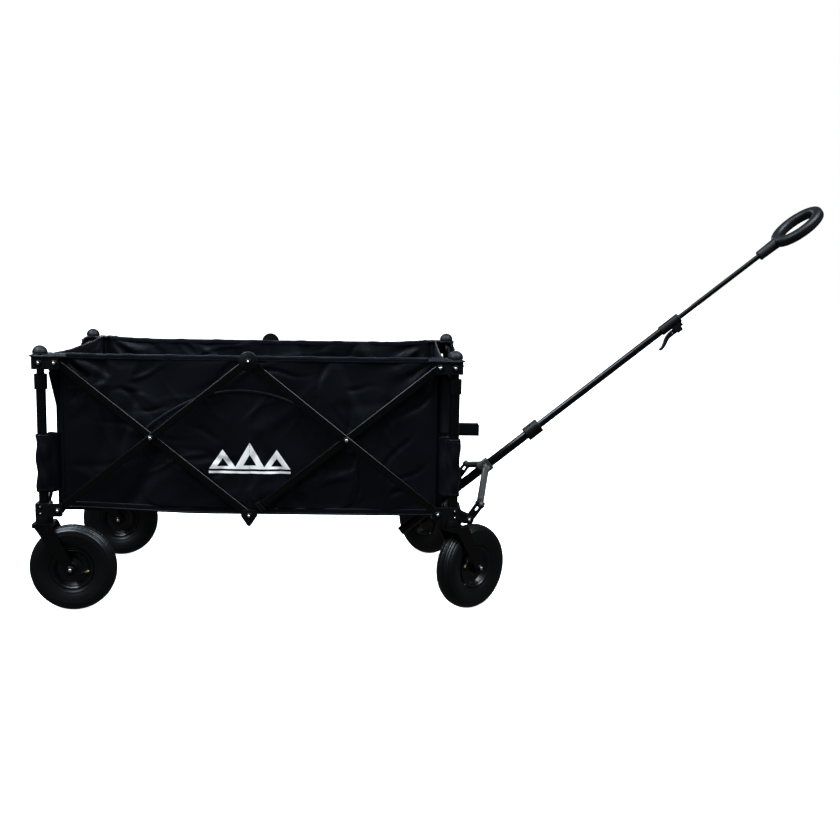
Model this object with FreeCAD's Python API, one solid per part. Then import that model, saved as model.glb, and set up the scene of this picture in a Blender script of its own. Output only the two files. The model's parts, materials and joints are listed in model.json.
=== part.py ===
"""Folding hand wagon: four-way scissor frame, air wheels, fabric tub and a telescopic pull handle.

Millimetres. +X to the front (handle) end, +Y to the left-hand side, +Z up. The pieces are drawn with the ground
at z = 0 and saved with the origin at the middle of the load bed's top face, BED above the ground.
"""
import FreeCAD, Part
import math
import os

V = FreeCAD.Vector
X, Y, Z = V(1, 0, 0), V(0, 1, 0), V(0, 0, 1)

# ---- driving sizes -------------------------------------------------------
SPAN = 434.0        # level distance between an end pivot and the side's middle, open
RISE = 338.0        # height between the lower and upper pivots at a post, open
SHORT = 0.486       # share of a side bar between its end pivot and its crossing
OFFSET = 35.0       # post axis to the side pivot beside it
OFFSET_Y = 46.0     # post axis to the end pivot beside it
CELLS = 2           # cells along each side; one cell at each end
BAR_W = 18.0        # bar width
BAR_T = 9.0         # bar thickness
BAR_GAP = 1.0       # post plane to the near face of a bar
CHEEK = 4.0         # bracket cheek
CHEEK_GAP = 0.5     # bar to cheek
PIN = 4.0           # bar pivot pin radius
RUN = 0.05          # running clearance on the radius
POST_R = 11.0       # outer post
POST_BORE = 9.3
INNER_R = 8.5       # inner post
BLOCK = 17.0        # half width of a corner bracket
WHEEL_R = 100.0
WHEEL_W = 50.0
RIM_R = 49.0
AXLE = 6.0
TRAIL = 64.0        # castor offset
STEM = 7.0
TUB_T = 1.8
BOARD_T = 8.0
CAP_R, CAP_H = 16.8, 18.0
PITCH = 38.8        # handle slope, degrees
YOKE_PITCH = 55.0   # slope of the yoke plane, degrees
CLEVIS = 38.0       # post axis to the yoke pin, forwards
ELBOW = 42.0        # yoke pin to link bolt
YOKE_RISE = 52.0    # link bolt to block bolt, up the yoke plane
BLOCK_Y = 24.0      # middle plane to a block bolt
FAR_SLIDE = 30.0    # side room the far elbow has on its pin
LOWER_R, MIDDLE_R, UPPER_R = 11.0, 9.0, 6.0
TAIL, TO_COLLAR, TO_CLAMP, TO_SOCKET = 269.0, 150.0, 577.0, 849.0
SOCKET_L, LOOP_L, LOOP_W, LOOP_T = 47.0, 140.0, 122.0, 25.0
GRIP_TURN = 10.0

# ---- sizes that follow ---------------------------------------------------
HEAD_Z = 2 * WHEEL_R + 6            # top of the fork crown, just over the tyre
Z_LOW = HEAD_Z + 29                 # lower pivots
Z_YOKE = HEAD_Z + 17
Z_UP = Z_LOW + RISE
TUB_BOTTOM = Z_LOW - 5
TUB_RIM = Z_UP + 21
Z_MID = Z_LOW + RISE / 2
MID_RISE = RISE / 2 * (1 - SHORT) / SHORT       # crossing to the middle pivots
Z_TOP_HUB, Z_LOW_HUB = Z_MID + MID_RISE, Z_MID - MID_RISE
XP = CELLS * SPAN / 2 + OFFSET      # post axes
BAR_L = math.hypot(SPAN, RISE / 2 + MID_RISE)
END_SPAN = 2 * SHORT * SPAN
END_L = 2 * SHORT * BAR_L           # an end bar: the sides and ends then keep one angle all the way
YP = END_SPAN / 2 + OFFSET_Y
LAP = 40.0
OUT_LO, OUT_HI = -BAR_GAP - BAR_T, -BAR_GAP     # outer layer, from the post plane inwards
IN_LO, IN_HI = BAR_GAP, BAR_GAP + BAR_T
LINK_SPAN = YP - BLOCK_Y
BED = TUB_BOTTOM + 3.0 + BOARD_T    # top of the base board above the ground

os.makedirs("parts", exist_ok=True)


# ---- helpers -------------------------------------------------------------
def box(x0, x1, y0, y1, z0, z1):
    return Part.makeBox(x1 - x0, y1 - y0, z1 - z0, V(x0, y0, z0))


def cyl(r, p0, p1):
    d = p1 - p0
    return Part.makeCylinder(r, d.Length, p0, d)


def ring(r1, r0, p0, p1):
    d = (p1 - p0).normalize()
    return cyl(r1, p0, p1).cut(cyl(r0, p0 - d, p1 + d))


def prism(points, direction):
    w = Part.makePolygon([V(*p) for p in points] + [V(*points[0])])
    return Part.Face(w).extrude(direction)


def softened(shape, r, pick):
    edges = [e for e in shape.Edges if pick(e)]
    try:
        return shape.makeFillet(r, edges)
    except Exception:
        return shape


def fuse(first, *rest):
    out = first
    for r in rest:
        out = out.fuse(r)
    return out.removeSplitter()


def bar_shape(length, t0, t1, hole0, hole1, hole_mid, lap0=None, lap1=None, cross=None):
    """A bar lying along +X from its first pivot, thickness along Y from t0 to t1; lap = (keep_lo, keep_hi) at an end."""
    h = BAR_W / 2
    body = box(0, length, t0, t1, -h, h).fuse(cyl(h, V(0, t0, 0), V(0, t1, 0))).fuse(
        cyl(h, V(length, t0, 0), V(length, t1, 0)))
    body = body.removeSplitter()
    # rounded long edges, kept off the ends that are flattened
    long_edges = [e for e in body.Edges if abs(e.Length - length) < 1 and abs(e.tangentAt(e.FirstParameter).x) > 0.99]
    try:
        body = body.makeFillet(2.5, long_edges)
    except Exception:
        pass
    for at, lap in ((0, lap0), (length, lap1)):
        if lap:
            a, b = (-h - 1, LAP) if at == 0 else (length - LAP, length + h + 1)
            if lap[0] > t0:
                body = body.cut(box(a, b, t0 - 1, lap[0], -h - 1, h + 1))
            if lap[1] < t1:
                body = body.cut(box(a, b, lap[1], t1 + 1, -h - 1, h + 1))
    for at, r in ((0, hole0), (length, hole1), (cross or length / 2, hole_mid)):
        if r:
            body = body.cut(cyl(r, V(at, t0 - 2, 0), V(at, t1 + 2, 0)))
    return body


def dome(r, h, p, d):
    """A low domed head of radius r and height h standing on p along d."""
    big = (r * r + h * h) / (2 * h)
    ball = Part.makeSphere(big, p + d * (h - big))
    return ball.common(cyl(r, p, p + d * (h + 0.01)))


def rivet(at_x, t_out, t_in):
    """The crossing rivet on an outer bar: shank through both bars, a head outside and a washer head inside."""
    return [cyl(3.5, V(at_x, t_out, 0), V(at_x, t_in + 0.4, 0)),
            dome(7.5, 3.5, V(at_x, t_out, 0), V(0, -1, 0)),
            cyl(7, V(at_x, t_in + 0.4, 0), V(at_x, t_in + 2.0, 0))]


def side_bar(x0, z0, x1, z1, outer, lap0=None, lap1=None, h0=PIN + RUN, h1=PIN + RUN):
    """A bar of the near side from (x0, z0) to (x1, z1)."""
    t0, t1 = (OUT_LO, OUT_HI) if outer else (IN_LO, IN_HI)
    cross = BAR_L * (SHORT if x0 < -1 else 1 - SHORT)
    s = bar_shape(BAR_L, t0, t1, h0, h1, None if outer else 3.5 + RUN, lap0, lap1, cross)
    if outer:
        s = fuse(s, *rivet(cross, OUT_LO, IN_HI))
    a = math.degrees(math.atan2(z1 - z0, x1 - x0))
    s.rotate(V(0, 0, 0), V(0, -1, 0), a)
    s.translate(V(x0, -YP, z0))
    return s


def end_bar(y0, z0, y1, z1, outer):
    """A bar of the rear end from (y0, z0) to (y1, z1)."""
    t0, t1 = (OUT_LO, OUT_HI) if outer else (IN_LO, IN_HI)
    s = bar_shape(END_L, t0, t1, PIN + RUN, PIN + RUN, None if outer else 3.5 + RUN)
    if outer:
        s = fuse(s, *rivet(END_L / 2, OUT_LO, IN_HI))
    # bar along +X, thickness along +Y (inwards) -> bar along +Y, thickness along +X (inwards): mirror in the plane x = y
    s = s.mirror(V(0, 0, 0), V(1, -1, 0).normalize())
    a = math.degrees(math.atan2(z1 - z0, y1 - y0))
    s.rotate(V(0, 0, 0), V(1, 0, 0), a)
    s.translate(V(-XP, y0, z0))
    return s


def far(s):
    return s.mirror(V(0, 0, 0), Y)


def front(s):
    return s.mirror(V(0, 0, 0), X)


def save(name, shape):
    shape = shape.copy()
    shape.translate(V(0, 0, -BED))
    shape.exportStep("parts/%s.step" % name)
    print(name, len(shape.Solids), shape.isValid(), round(shape.Volume / 1000, 1))


def cheeks(outer, along, z, h):
    """A face plate flush with the block, an inner cheek and the pin for one bar, reaching from the post at the origin along +X, or +Y for 'v'."""
    lo, hi = (OUT_LO, OUT_HI) if outer else (IN_LO, IN_HI)
    far_end = OFFSET if along == "u" else OFFSET_Y
    a, b = hi + CHEEK_GAP, hi + CHEEK_GAP + CHEEK
    plate = box(BLOCK - 2, far_end + 10, -BLOCK, lo - CHEEK_GAP, z - 14, z + 16)
    plate = softened(plate, 4, lambda e: abs(e.tangentAt(e.FirstParameter).y) > 0.99 and e.CenterOfMass.x > far_end)
    parts = [plate, box(BLOCK - 2, far_end, a, b, z - h, z + h), cyl(h, V(far_end, a, z), V(far_end, b, z)),
             cyl(PIN, V(far_end, -BLOCK, z), V(far_end, b, z)), dome(7.0, 4.0, V(far_end, -BLOCK, z), V(0, -1, 0))]
    if along == "v":
        parts = [p.mirror(V(0, 0, 0), V(1, -1, 0).normalize()) for p in parts]
    return parts


def corner(shape):
    """Move a part built round the origin to the rear near corner."""
    shape.translate(V(-XP, -YP, 0))
    return shape


# ---- corner brackets -----------------------------------------------------
def lower_bracket(side_outer, end_outer, yoke=None):
    half = 15.0
    body = box(-BLOCK, BLOCK, -BLOCK, BLOCK, Z_LOW - half + 1, Z_LOW + half + 1)
    body = softened(body, 4, lambda e: abs(e.tangentAt(e.FirstParameter).z) > 0.99)
    more = [cyl(20, V(0, 0, HEAD_Z + 0.5), V(0, 0, Z_LOW - half + 1))]
    more += cheeks(side_outer, "u", Z_LOW, 12.0)
    more += cheeks(end_outer, "v", Z_LOW, 12.0)
    # two screws through the block into the post
    for dz in (-6.5, 8.5):
        more.append(dome(3.6, 2.2, V(-4, -BLOCK, Z_LOW + dz), V(0, -1, 0)))
    if yoke:
        lo, hi = yoke
        for a, b in ((lo - CHEEK, lo), (hi, hi + CHEEK)):
            plate = prism([(-BLOCK + 2, a, Z_LOW + 8), (-CLEVIS + 2, a, Z_YOKE + 10.5), (-CLEVIS - 2, a, Z_YOKE + 10),
                           (-CLEVIS, a, Z_YOKE - 10), (-BLOCK + 2, a, Z_YOKE - 7)], V(0, b - a, 0))
            more.append(plate)
            more.append(cyl(10.3, V(-CLEVIS, a, Z_YOKE), V(-CLEVIS, b, Z_YOKE)))
            if a < -BLOCK - 1:      # a cheek that stands outside the block is carried back to it
                more.append(box(-BLOCK, -BLOCK + 6, a, -BLOCK + 4, Z_LOW - 13, Z_LOW + 8))
        more.append(cyl(PIN, V(-CLEVIS, lo - CHEEK, Z_YOKE), V(-CLEVIS, hi + CHEEK, Z_YOKE)))
        more.append(dome(6.5, 3.5, V(-CLEVIS, lo - CHEEK, Z_YOKE), V(0, -1, 0)))
        more.append(dome(6.0, 3.0, V(-CLEVIS, hi + CHEEK, Z_YOKE), V(0, 1, 0)))
    body = fuse(body, *more)
    body = body.cut(cyl(POST_R, V(0, 0, HEAD_Z - 5), V(0, 0, Z_LOW + 40)))
    return corner(body)


def upper_bracket(side_outer, end_outer):
    body = box(-BLOCK, BLOCK, -BLOCK, BLOCK, Z_UP - 14, Z_UP + 16)
    body = softened(body, 4, lambda e: abs(e.tangentAt(e.FirstParameter).z) > 0.99)
    more = cheeks(side_outer, "u", Z_UP, 12.0) + cheeks(end_outer, "v", Z_UP, 12.0)
    more.append(dome(7.0, 4.0, V(0, -BLOCK, Z_UP), V(0, -1, 0)))
    body = fuse(body, *more)
    body = body.cut(cyl(INNER_R, V(0, 0, Z_UP - 40), V(0, 0, Z_UP + 40)))
    return corner(body)


def outer_post():
    top = Z_UP - 26.0
    tube = ring(POST_R, POST_BORE, V(0, 0, HEAD_Z + 6), V(0, 0, top - 14))
    bush = ring(POST_BORE, STEM + RUN, V(0, 0, HEAD_Z + 6), V(0, 0, HEAD_Z + 38))
    low = ring(POST_BORE, INNER_R + RUN + 0.01, V(0, 0, top - 42), V(0, 0, top - 14))
    collar = ring(14.5, INNER_R + RUN + 0.01, V(0, 0, top - 14), V(0, 0, top)).fuse(
        ring(14.5, POST_R, V(0, 0, top - 34), V(0, 0, top - 14))).fuse(low).removeSplitter()
    return corner(Part.makeCompound([tube, bush, collar]))


def inner_post():
    tube = ring(INNER_R, 7.0, V(0, 0, HEAD_Z + 46), V(0, 0, TUB_RIM + 8))
    r, h = CAP_R, CAP_H
    big = (r * r + (h - 4) ** 2) / (2 * (h - 4))
    top = Part.makeSphere(big, V(0, 0, TUB_RIM + h - big)).common(cyl(r, V(0, 0, TUB_RIM + 4), V(0, 0, TUB_RIM + h + 1)))
    cap = cyl(r, V(0, 0, TUB_RIM), V(0, 0, TUB_RIM + 4)).fuse(top).removeSplitter()
    cap = cap.cut(cyl(INNER_R, V(0, 0, TUB_RIM - 1), V(0, 0, TUB_RIM + 8)))
    return corner(Part.makeCompound([tube, cap]))


# ---- wheels --------------------------------------------------------------
def fork():
    """Built round the post axis with the wheel trailing along +X."""
    crown = box(-22, 22, -31.5, 31.5, HEAD_Z - 9, HEAD_Z)
    crown = softened(crown, 5, lambda e: abs(e.tangentAt(e.FirstParameter).z) > 0.99)
    legs = []
    for a in (-31.5, 28.0):
        legs.append(prism([(-20, a, HEAD_Z - 2), (22, a, HEAD_Z - 2), (TRAIL + 13, a, WHEEL_R), (TRAIL - 13, a, WHEEL_R - 2)],
                          V(0, 3.5, 0)))
        legs.append(cyl(14, V(TRAIL, a, WHEEL_R), V(TRAIL, a + 3.5, WHEEL_R)))
    stem = cyl(STEM, V(0, 0, HEAD_Z - 1), V(0, 0, HEAD_Z + 38))
    axle = cyl(AXLE, V(TRAIL, -35, WHEEL_R), V(TRAIL, 35, WHEEL_R))
    heads = [dome(8.5, 5, V(TRAIL, -31.5, WHEEL_R), V(0, -1, 0)), dome(8.5, 5, V(TRAIL, 31.5, WHEEL_R), V(0, 1, 0))]
    return fuse(crown, stem, axle, *(legs + heads))


def tyre():
    w = WHEEL_W / 2
    wall = WHEEL_R - RIM_R
    pts = [(16.5, RIM_R), (21.0, RIM_R + 4), (w, RIM_R + 0.37 * wall), (w, RIM_R + 0.61 * wall), (21.5, RIM_R + 0.82 * wall),
           (14, RIM_R + 0.953 * wall), (6, WHEEL_R)]
    right = [V(TRAIL, y, WHEEL_R + r) for y, r in pts]
    left = [V(TRAIL, -y, WHEEL_R + r) for y, r in reversed(pts)]
    c = Part.BSplineCurve()
    c.interpolate(right[1:])
    d = Part.BSplineCurve()
    d.interpolate(left[:-1])
    edges = [Part.makeLine(right[0], right[1]), c.toShape(), Part.makeLine(right[-1], left[0]), d.toShape(),
             Part.makeLine(left[-2], left[-1])]
    inner = [left[-1], V(TRAIL, -13, WHEEL_R + 56), V(TRAIL, 13, WHEEL_R + 56), right[0]]
    edges += [Part.makeLine(inner[0], inner[1]), Part.makeLine(inner[1], inner[2]), Part.makeLine(inner[2], inner[3])]
    f = Part.Face(Part.Wire(Part.__sortEdges__(edges)))
    return f.revolve(V(TRAIL, 0, WHEEL_R), Y, 360)


def rim():
    half = 16.5
    face = [(AXLE + RUN, 27), (14, 27), (14, 10), (22, 7), (35, 8), (41, 13.5), (RIM_R - 3, 18), (RIM_R, 18.5), (RIM_R, half), (44, half - 2)]
    prof = [(r, -y) for r, y in face] + face[::-1]
    pts = [V(TRAIL, y, WHEEL_R + r) for r, y in prof]
    f = Part.Face(Part.makePolygon(pts + [pts[0]]))
    return f.revolve(V(TRAIL, 0, WHEEL_R), Y, 360)


def placed(shape, fx, fy, turn):
    s = shape.copy()
    s.rotate(V(0, 0, 0), Z, turn)
    s.translate(V(fx * XP, fy * YP, 0))
    return s


# ---- save the frame ------------------------------------------------------
CORNERS = {"rn": (-1, -1), "rf": (-1, 1), "fn": (1, -1), "ff": (1, 1)}
for key, (fx, fy) in CORNERS.items():
    end_low_outer = fy < 0      # the outer end bar starts low at the near side
    yoke = None
    if fx > 0:
        yoke = (-8.0, 8.0) if fy < 0 else (-8.0 - FAR_SLIDE, 8.0)
    pieces = {"lower_bracket": lower_bracket(True, end_low_outer, yoke), "upper_bracket": upper_bracket(False, not end_low_outer),
              "outer_post": outer_post(), "inner_post": inner_post()}
    for name, s in pieces.items():
        if fx > 0:
            s = front(s)
        if fy > 0:
            s = far(s)
        save("%s_%s" % (name, key), s)
    turn = 0.0 if fx < 0 else (44.0 if fy < 0 else 131.0)
    save("fork_" + key, placed(fork(), fx, fy, turn))
    save("tyre_" + key, placed(tyre(), fx, fy, turn))
    save("rim_" + key, placed(rim(), fx, fy, turn))

mid = (OUT_LO + OUT_HI) / 2
keep_b, keep_c = (OUT_LO - 1, mid - 0.2), (mid + 0.2, OUT_HI + 1)
mid = (IN_LO + IN_HI) / 2
keep_a, keep_d = (IN_LO - 1, mid - 0.2), (mid + 0.2, IN_HI + 1)
side = {
    "a": side_bar(-SPAN, Z_UP, 0, Z_LOW_HUB, False, None, keep_a, PIN + RUN, PIN),
    "b": side_bar(-SPAN, Z_LOW, 0, Z_TOP_HUB, True, None, keep_b, PIN + RUN, PIN),
    "c": side_bar(0, Z_TOP_HUB, SPAN, Z_LOW, True, keep_c, None),
    "d": side_bar(0, Z_LOW_HUB, SPAN, Z_UP, False, keep_d, None),
}
for k, s in side.items():
    save("bar_near_" + k, s)
    save("bar_far_" + k, far(s))

# side hubs: the upper one on bar b, the lower one on bar a
top = fuse(cyl(17.5, V(0, OUT_LO - 4, 0), V(0, OUT_LO, 0)), cyl(PIN, V(0, OUT_LO, 0), V(0, OUT_HI + 0.4, 0)),
           cyl(14, V(0, OUT_HI + 0.4, 0), V(0, OUT_HI + 4, 0)), dome(7, 4, V(0, OUT_LO - 4, 0), V(0, -1, 0)))
top.translate(V(0, -YP, Z_TOP_HUB))
plate = prism([(-17, -6, 13), (17, -6, 13), (19, -6, 0), (3, -6, -24), (-3, -6, -24), (-19, -6, 0)], V(0, 6 + IN_LO, 0))
plate = softened(plate, 3, lambda e: abs(e.tangentAt(e.FirstParameter).y) > 0.99)
bottom = fuse(plate, cyl(PIN, V(0, IN_LO, 0), V(0, IN_HI + 0.4, 0)), cyl(12, V(0, IN_HI + 0.4, 0), V(0, IN_HI + 3, 0)),
              dome(7, 4, V(0, -6, 0), V(0, -1, 0)))
bottom.translate(V(0, -YP, Z_LOW_HUB))
save("hub_near_top", top)
save("hub_far_top", far(top))
save("hub_near_bottom", bottom)
save("hub_far_bottom", far(bottom))

e1 = end_bar(-END_SPAN / 2, Z_LOW, END_SPAN / 2, Z_UP, True)
e2 = end_bar(-END_SPAN / 2, Z_UP, END_SPAN / 2, Z_LOW, False)
save("bar_rear_outer", e1)
save("bar_rear_inner", e2)
save("bar_front_outer", front(e1))
save("bar_front_inner", front(e2))

# ---- yoke ----------------------------------------------------------------
U = V(math.cos(math.radians(YOKE_PITCH)), 0, math.sin(math.radians(YOKE_PITCH)))
N = V(U.z, 0, -U.x)
PIN_AT = V(XP + CLEVIS, 0, Z_YOKE)


def yoke_place(s):
    """From yoke axes (X across = world Y, Y up the yoke = U, Z = the yoke's normal N) to the frame."""
    m = FreeCAD.Matrix(0, U.x, N.x, PIN_AT.x, 1, U.y, N.y, PIN_AT.y, 0, U.z, N.z, PIN_AT.z, 0, 0, 0, 1)
    p = FreeCAD.Placement(m)
    t = s.copy()
    t.Placement = p.multiply(t.Placement)
    return t


beta = math.atan2(YOKE_RISE, LINK_SPAN)
LINK_L = math.hypot(LINK_SPAN, YOKE_RISE)
TONGUE = 6.0
ARM = 3.3


def elbow():
    """Yoke axes, yoke pin at the origin of Y and Z, near side."""
    w = 7.5
    foot = box(-w, w, 0, 24, -9, 9).fuse(cyl(9.0, V(-w, 0, 0), V(w, 0, 0)))
    arms = []
    for a, b in ((ARM, 9.0), (-9.0, -ARM)):
        arms.append(box(-w, w, 22, ELBOW, a, b))
        arms.append(cyl(w + 1.5, V(0, ELBOW, a), V(0, ELBOW, b)))
    s = fuse(foot, *arms)
    s = s.cut(cyl(PIN + RUN, V(-w - 1, 0, 0), V(w + 1, 0, 0)))
    s = fuse(s, cyl(3.0, V(0, ELBOW, -ARM - 1), V(0, ELBOW, ARM + 1)), dome(5.5, 3, V(0, ELBOW, 9), V(0, 0, 1)),
             dome(5.5, 3, V(0, ELBOW, -9), V(0, 0, -1)))
    s.translate(V(-YP, 0, 0))
    return s


def link():
    """Yoke axes: from the near elbow bolt to the near block bolt."""
    r = 8.5
    tube = ring(r, 6.5, V(14, 0, 0), V(LINK_L - 14, 0, 0))
    ends = []
    for at, d in ((0, 1), (LINK_L, -1)):
        a, b = sorted((at, at + d * 32))
        tongue = box(a, b, -6.0, 6.0, -TONGUE / 2, TONGUE / 2).fuse(cyl(7.5, V(at, 0, -TONGUE / 2), V(at, 0, TONGUE / 2)))
        plug_a, plug_b = sorted((at + d * 14, at + d * 32))
        ends += [tongue, cyl(6.5, V(plug_a, 0, 0), V(plug_b, 0, 0))]
    s = fuse(tube, *ends)
    for at in (0, LINK_L):
        s = s.cut(cyl(3.0 + RUN, V(at, 0, -9), V(at, 0, 9)))
    s.rotate(V(0, 0, 0), Z, math.degrees(beta))
    s.translate(V(-YP, ELBOW, 0))
    return s


near_elbow, near_link = elbow(), link()
save("yoke_elbow_near", yoke_place(near_elbow))
save("yoke_elbow_far", yoke_place(near_elbow.mirror(V(0, 0, 0), X)))
save("yoke_link_near", yoke_place(near_link))
save("yoke_link_far", yoke_place(near_link.mirror(V(0, 0, 0), X)))

# ---- handle --------------------------------------------------------------
H = V(math.cos(math.radians(PITCH)), 0, math.sin(math.radians(PITCH)))
M = V(-H.z, 0, H.x)
HUB = PIN_AT + U * (ELBOW + YOKE_RISE)


def handle_place(s):
    """From handle axes (X along, Y across, Z square to both) with the block at the origin to the frame."""
    m = FreeCAD.Matrix(H.x, 0, M.x, HUB.x, H.y, 1, M.y, HUB.y, H.z, 0, M.z, HUB.z, 0, 0, 0, 1)
    t = s.copy()
    t.Placement = FreeCAD.Placement(m).multiply(t.Placement)
    return t


block = box(-15, 15, -15.5, 15.5, -15, 15)
block = softened(block, 3, lambda e: abs(e.tangentAt(e.FirstParameter).x) > 0.99)
block = handle_place(block)
ears = []
for sgn in (-1, 1):
    for a, b in ((ARM, 7.5), (-7.5, -ARM)):
        y0, y1 = sorted((sgn * 12.0, sgn * BLOCK_Y))
        e = box(y0, y1, -9, 9, a, b).fuse(cyl(9, V(sgn * BLOCK_Y, 0, a), V(sgn * BLOCK_Y, 0, b)))
        ears.append(e)
    ears += [cyl(3.0, V(sgn * BLOCK_Y, 0, -ARM - 1), V(sgn * BLOCK_Y, 0, ARM + 1)),
             dome(5.5, 3, V(sgn * BLOCK_Y, 0, 7.5), V(0, 0, 1)), dome(5.5, 3, V(sgn * BLOCK_Y, 0, -7.5), V(0, 0, -1))]
for e in ears:
    e.translate(V(0, ELBOW + YOKE_RISE, 0))
block = fuse(block, *[yoke_place(e) for e in ears])
block = block.cut(handle_place(cyl(LOWER_R, V(-40, 0, 0), V(40, 0, 0))))
save("yoke_block", block)

lower = ring(LOWER_R, 9.6, V(-TAIL, 0, 0), V(TO_COLLAR, 0, 0)).fuse(cyl(9.6, V(-TAIL, 0, 0), V(-TAIL + 8, 0, 0)))
lower = lower.removeSplitter()
save("handle_lower_tube", handle_place(lower))
collar = ring(18, LOWER_R, V(TO_COLLAR - 21, 0, 0), V(TO_COLLAR, 0, 0)).fuse(
    ring(18, MIDDLE_R + RUN, V(TO_COLLAR, 0, 0), V(TO_COLLAR + 21, 0, 0))).removeSplitter()
collar = softened(collar, 2.5, lambda e: len(e.Vertexes) == 1 and abs(e.Curve.Radius - 18) < 0.1)
save("handle_collar", handle_place(collar))
middle = ring(MIDDLE_R, 7.6, V(TO_COLLAR - 40, 0, 0), V(TO_CLAMP - 8, 0, 0))
save("handle_middle_tube", handle_place(middle))
half = 28.5
clamp = cyl(12, V(TO_CLAMP - half, 0, 0), V(TO_CLAMP + half, 0, 0))
clamp = softened(clamp, 2, lambda e: len(e.Vertexes) == 1)
clamp = clamp.fuse(box(TO_CLAMP + 14, TO_CLAMP + 25, -5, 5, -20, -8))
for a, b in ((-11, -7.5), (7.5, 11)):
    clamp = clamp.fuse(prism([(TO_CLAMP - 4, a, -8), (TO_CLAMP + 20, a, -8), (TO_CLAMP + 17, a, -28), (TO_CLAMP + 3, a, -28)],
                             V(0, b - a, 0)))
clamp = clamp.removeSplitter()
clamp = clamp.cut(cyl(MIDDLE_R, V(TO_CLAMP - half - 1, 0, 0), V(TO_CLAMP - 8, 0, 0)))
clamp = clamp.cut(cyl(UPPER_R + RUN, V(TO_CLAMP - 9, 0, 0), V(TO_CLAMP + half + 1, 0, 0)))
clamp = clamp.cut(box(TO_CLAMP - 6, TO_CLAMP + 22, -7.5, 7.5, -40, -12.5).cut(box(TO_CLAMP + 13.9, TO_CLAMP + 30, -8, 8, -40, -12)))
lever_at = V(TO_CLAMP + 8, 0, -21.0)
clamp = clamp.fuse(cyl(2.5, lever_at + V(0, -11, 0), lever_at + V(0, 11, 0))).removeSplitter()
save("handle_clamp", handle_place(clamp))
back = [(8, -16), (-4, -14.8), (-17, -15.4), (-29, -19.4), (-39, -26.4), (-49, -31.8), (-58, -33)]
front = [(-58, -37), (-48, -37), (-37, -33), (-26, -27.4), (-12, -25.4), (8, -26)]
blade = []
for path in (back, front):
    curve = Part.BSplineCurve()
    curve.interpolate([V(TO_CLAMP + x, -7, z) for x, z in path])
    blade.append(curve.toShape())
for a, b in ((back[-1], front[0]), (front[-1], back[0])):
    blade.append(Part.makeLine(V(TO_CLAMP + a[0], -7, a[1]), V(TO_CLAMP + b[0], -7, b[1])))
blade = Part.Face(Part.Wire(Part.__sortEdges__(blade))).extrude(V(0, 14, 0))
lever = cyl(5.0, lever_at + V(0, -7, 0), lever_at + V(0, 7, 0)).fuse(blade).removeSplitter()
lever = softened(lever, 1.5, lambda e: abs(e.tangentAt(e.FirstParameter).y) > 0.99 and e.CenterOfMass.x < TO_CLAMP - 50)
lever = lever.cut(cyl(2.0, V(TO_CLAMP - 8, -8, -20.4), V(TO_CLAMP - 8, 8, -20.4)))
lever = lever.cut(cyl(2.5 + RUN, lever_at + V(0, -8, 0), lever_at + V(0, 8, 0)))
save("clamp_lever", handle_place(lever))
upper = ring(UPPER_R, 4.6, V(TO_CLAMP - 36, 0, 0), V(TO_SOCKET + SOCKET_L - 5, 0, 0))
save("handle_upper_tube", handle_place(upper))
x0 = TO_SOCKET + SOCKET_L
cx = x0 + LOOP_L / 2
outer = Part.Wire(Part.Ellipse(V(cx, 0, 0), LOOP_L / 2, LOOP_W / 2).toShape())
inner = Part.Wire(Part.Ellipse(V(cx, 0, 0), LOOP_L / 2 - LOOP_T, LOOP_W / 2 - LOOP_T).toShape())
loop = Part.Face(outer).extrude(V(0, 0, 24)).cut(Part.Face(inner).extrude(V(0, 0, 24)))
loop.translate(V(0, 0, -12))
loop = softened(loop, 9.0, lambda e: len(e.Vertexes) == 1)
sock = Part.makeCone(12, 13.5, SOCKET_L + 8, V(TO_SOCKET, 0, 0), X)
sock = softened(sock, 2, lambda e: len(e.Vertexes) == 1 and e.CenterOfMass.x < TO_SOCKET + 1)
hole = Part.Face(inner).extrude(V(0, 0, 60))
hole.translate(V(0, 0, -30))
for piece in (loop, hole):
    piece.rotate(V(0, 0, 0), X, GRIP_TURN)
grip = fuse(loop, sock).cut(hole)
grip = grip.cut(cyl(UPPER_R, V(TO_SOCKET - 1, 0, 0), V(TO_SOCKET + SOCKET_L - 5, 0, 0)))
save("handle_grip", handle_place(grip))

# ---- storage clip on the front crossing ---------------------------------
zc = Z_MID
clip = box(XP - OUT_LO + 4.2, XP + 24, -15.5, 15.5, zc - 25, zc + 9)
for a, b in ((-15.5, -LOWER_R - 0.4), (LOWER_R + 0.4, 15.5)):
    clip = clip.fuse(box(XP + 22, XP + 74, a, b, zc - 25, zc + 3))
clip = clip.removeSplitter()
clip = softened(clip, 2, lambda e: abs(e.tangentAt(e.FirstParameter).z) > 0.99 and e.CenterOfMass.x > XP + 68)
save("storage_clip", clip)

# ---- tub and base board --------------------------------------------------
tx, ty = XP - 29.0, YP - 15.0
CHAMFER = 13.5


def outline(hx, hy, c, z):
    p = [(-hx, -hy + c), (-hx + c, -hy), (hx - c, -hy), (hx, -hy + c), (hx, hy - c), (hx - c, hy), (-hx + c, hy), (-hx, hy - c)]
    return Part.Face(Part.makePolygon([V(a, b, z) for a, b in p + p[:1]]))


tub = outline(tx, ty, CHAMFER, TUB_BOTTOM).extrude(V(0, 0, TUB_RIM - 1 - TUB_BOTTOM))
tub = tub.cut(outline(tx - TUB_T, ty - TUB_T, CHAMFER - 1, TUB_BOTTOM + 3).extrude(V(0, 0, 500)))
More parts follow.
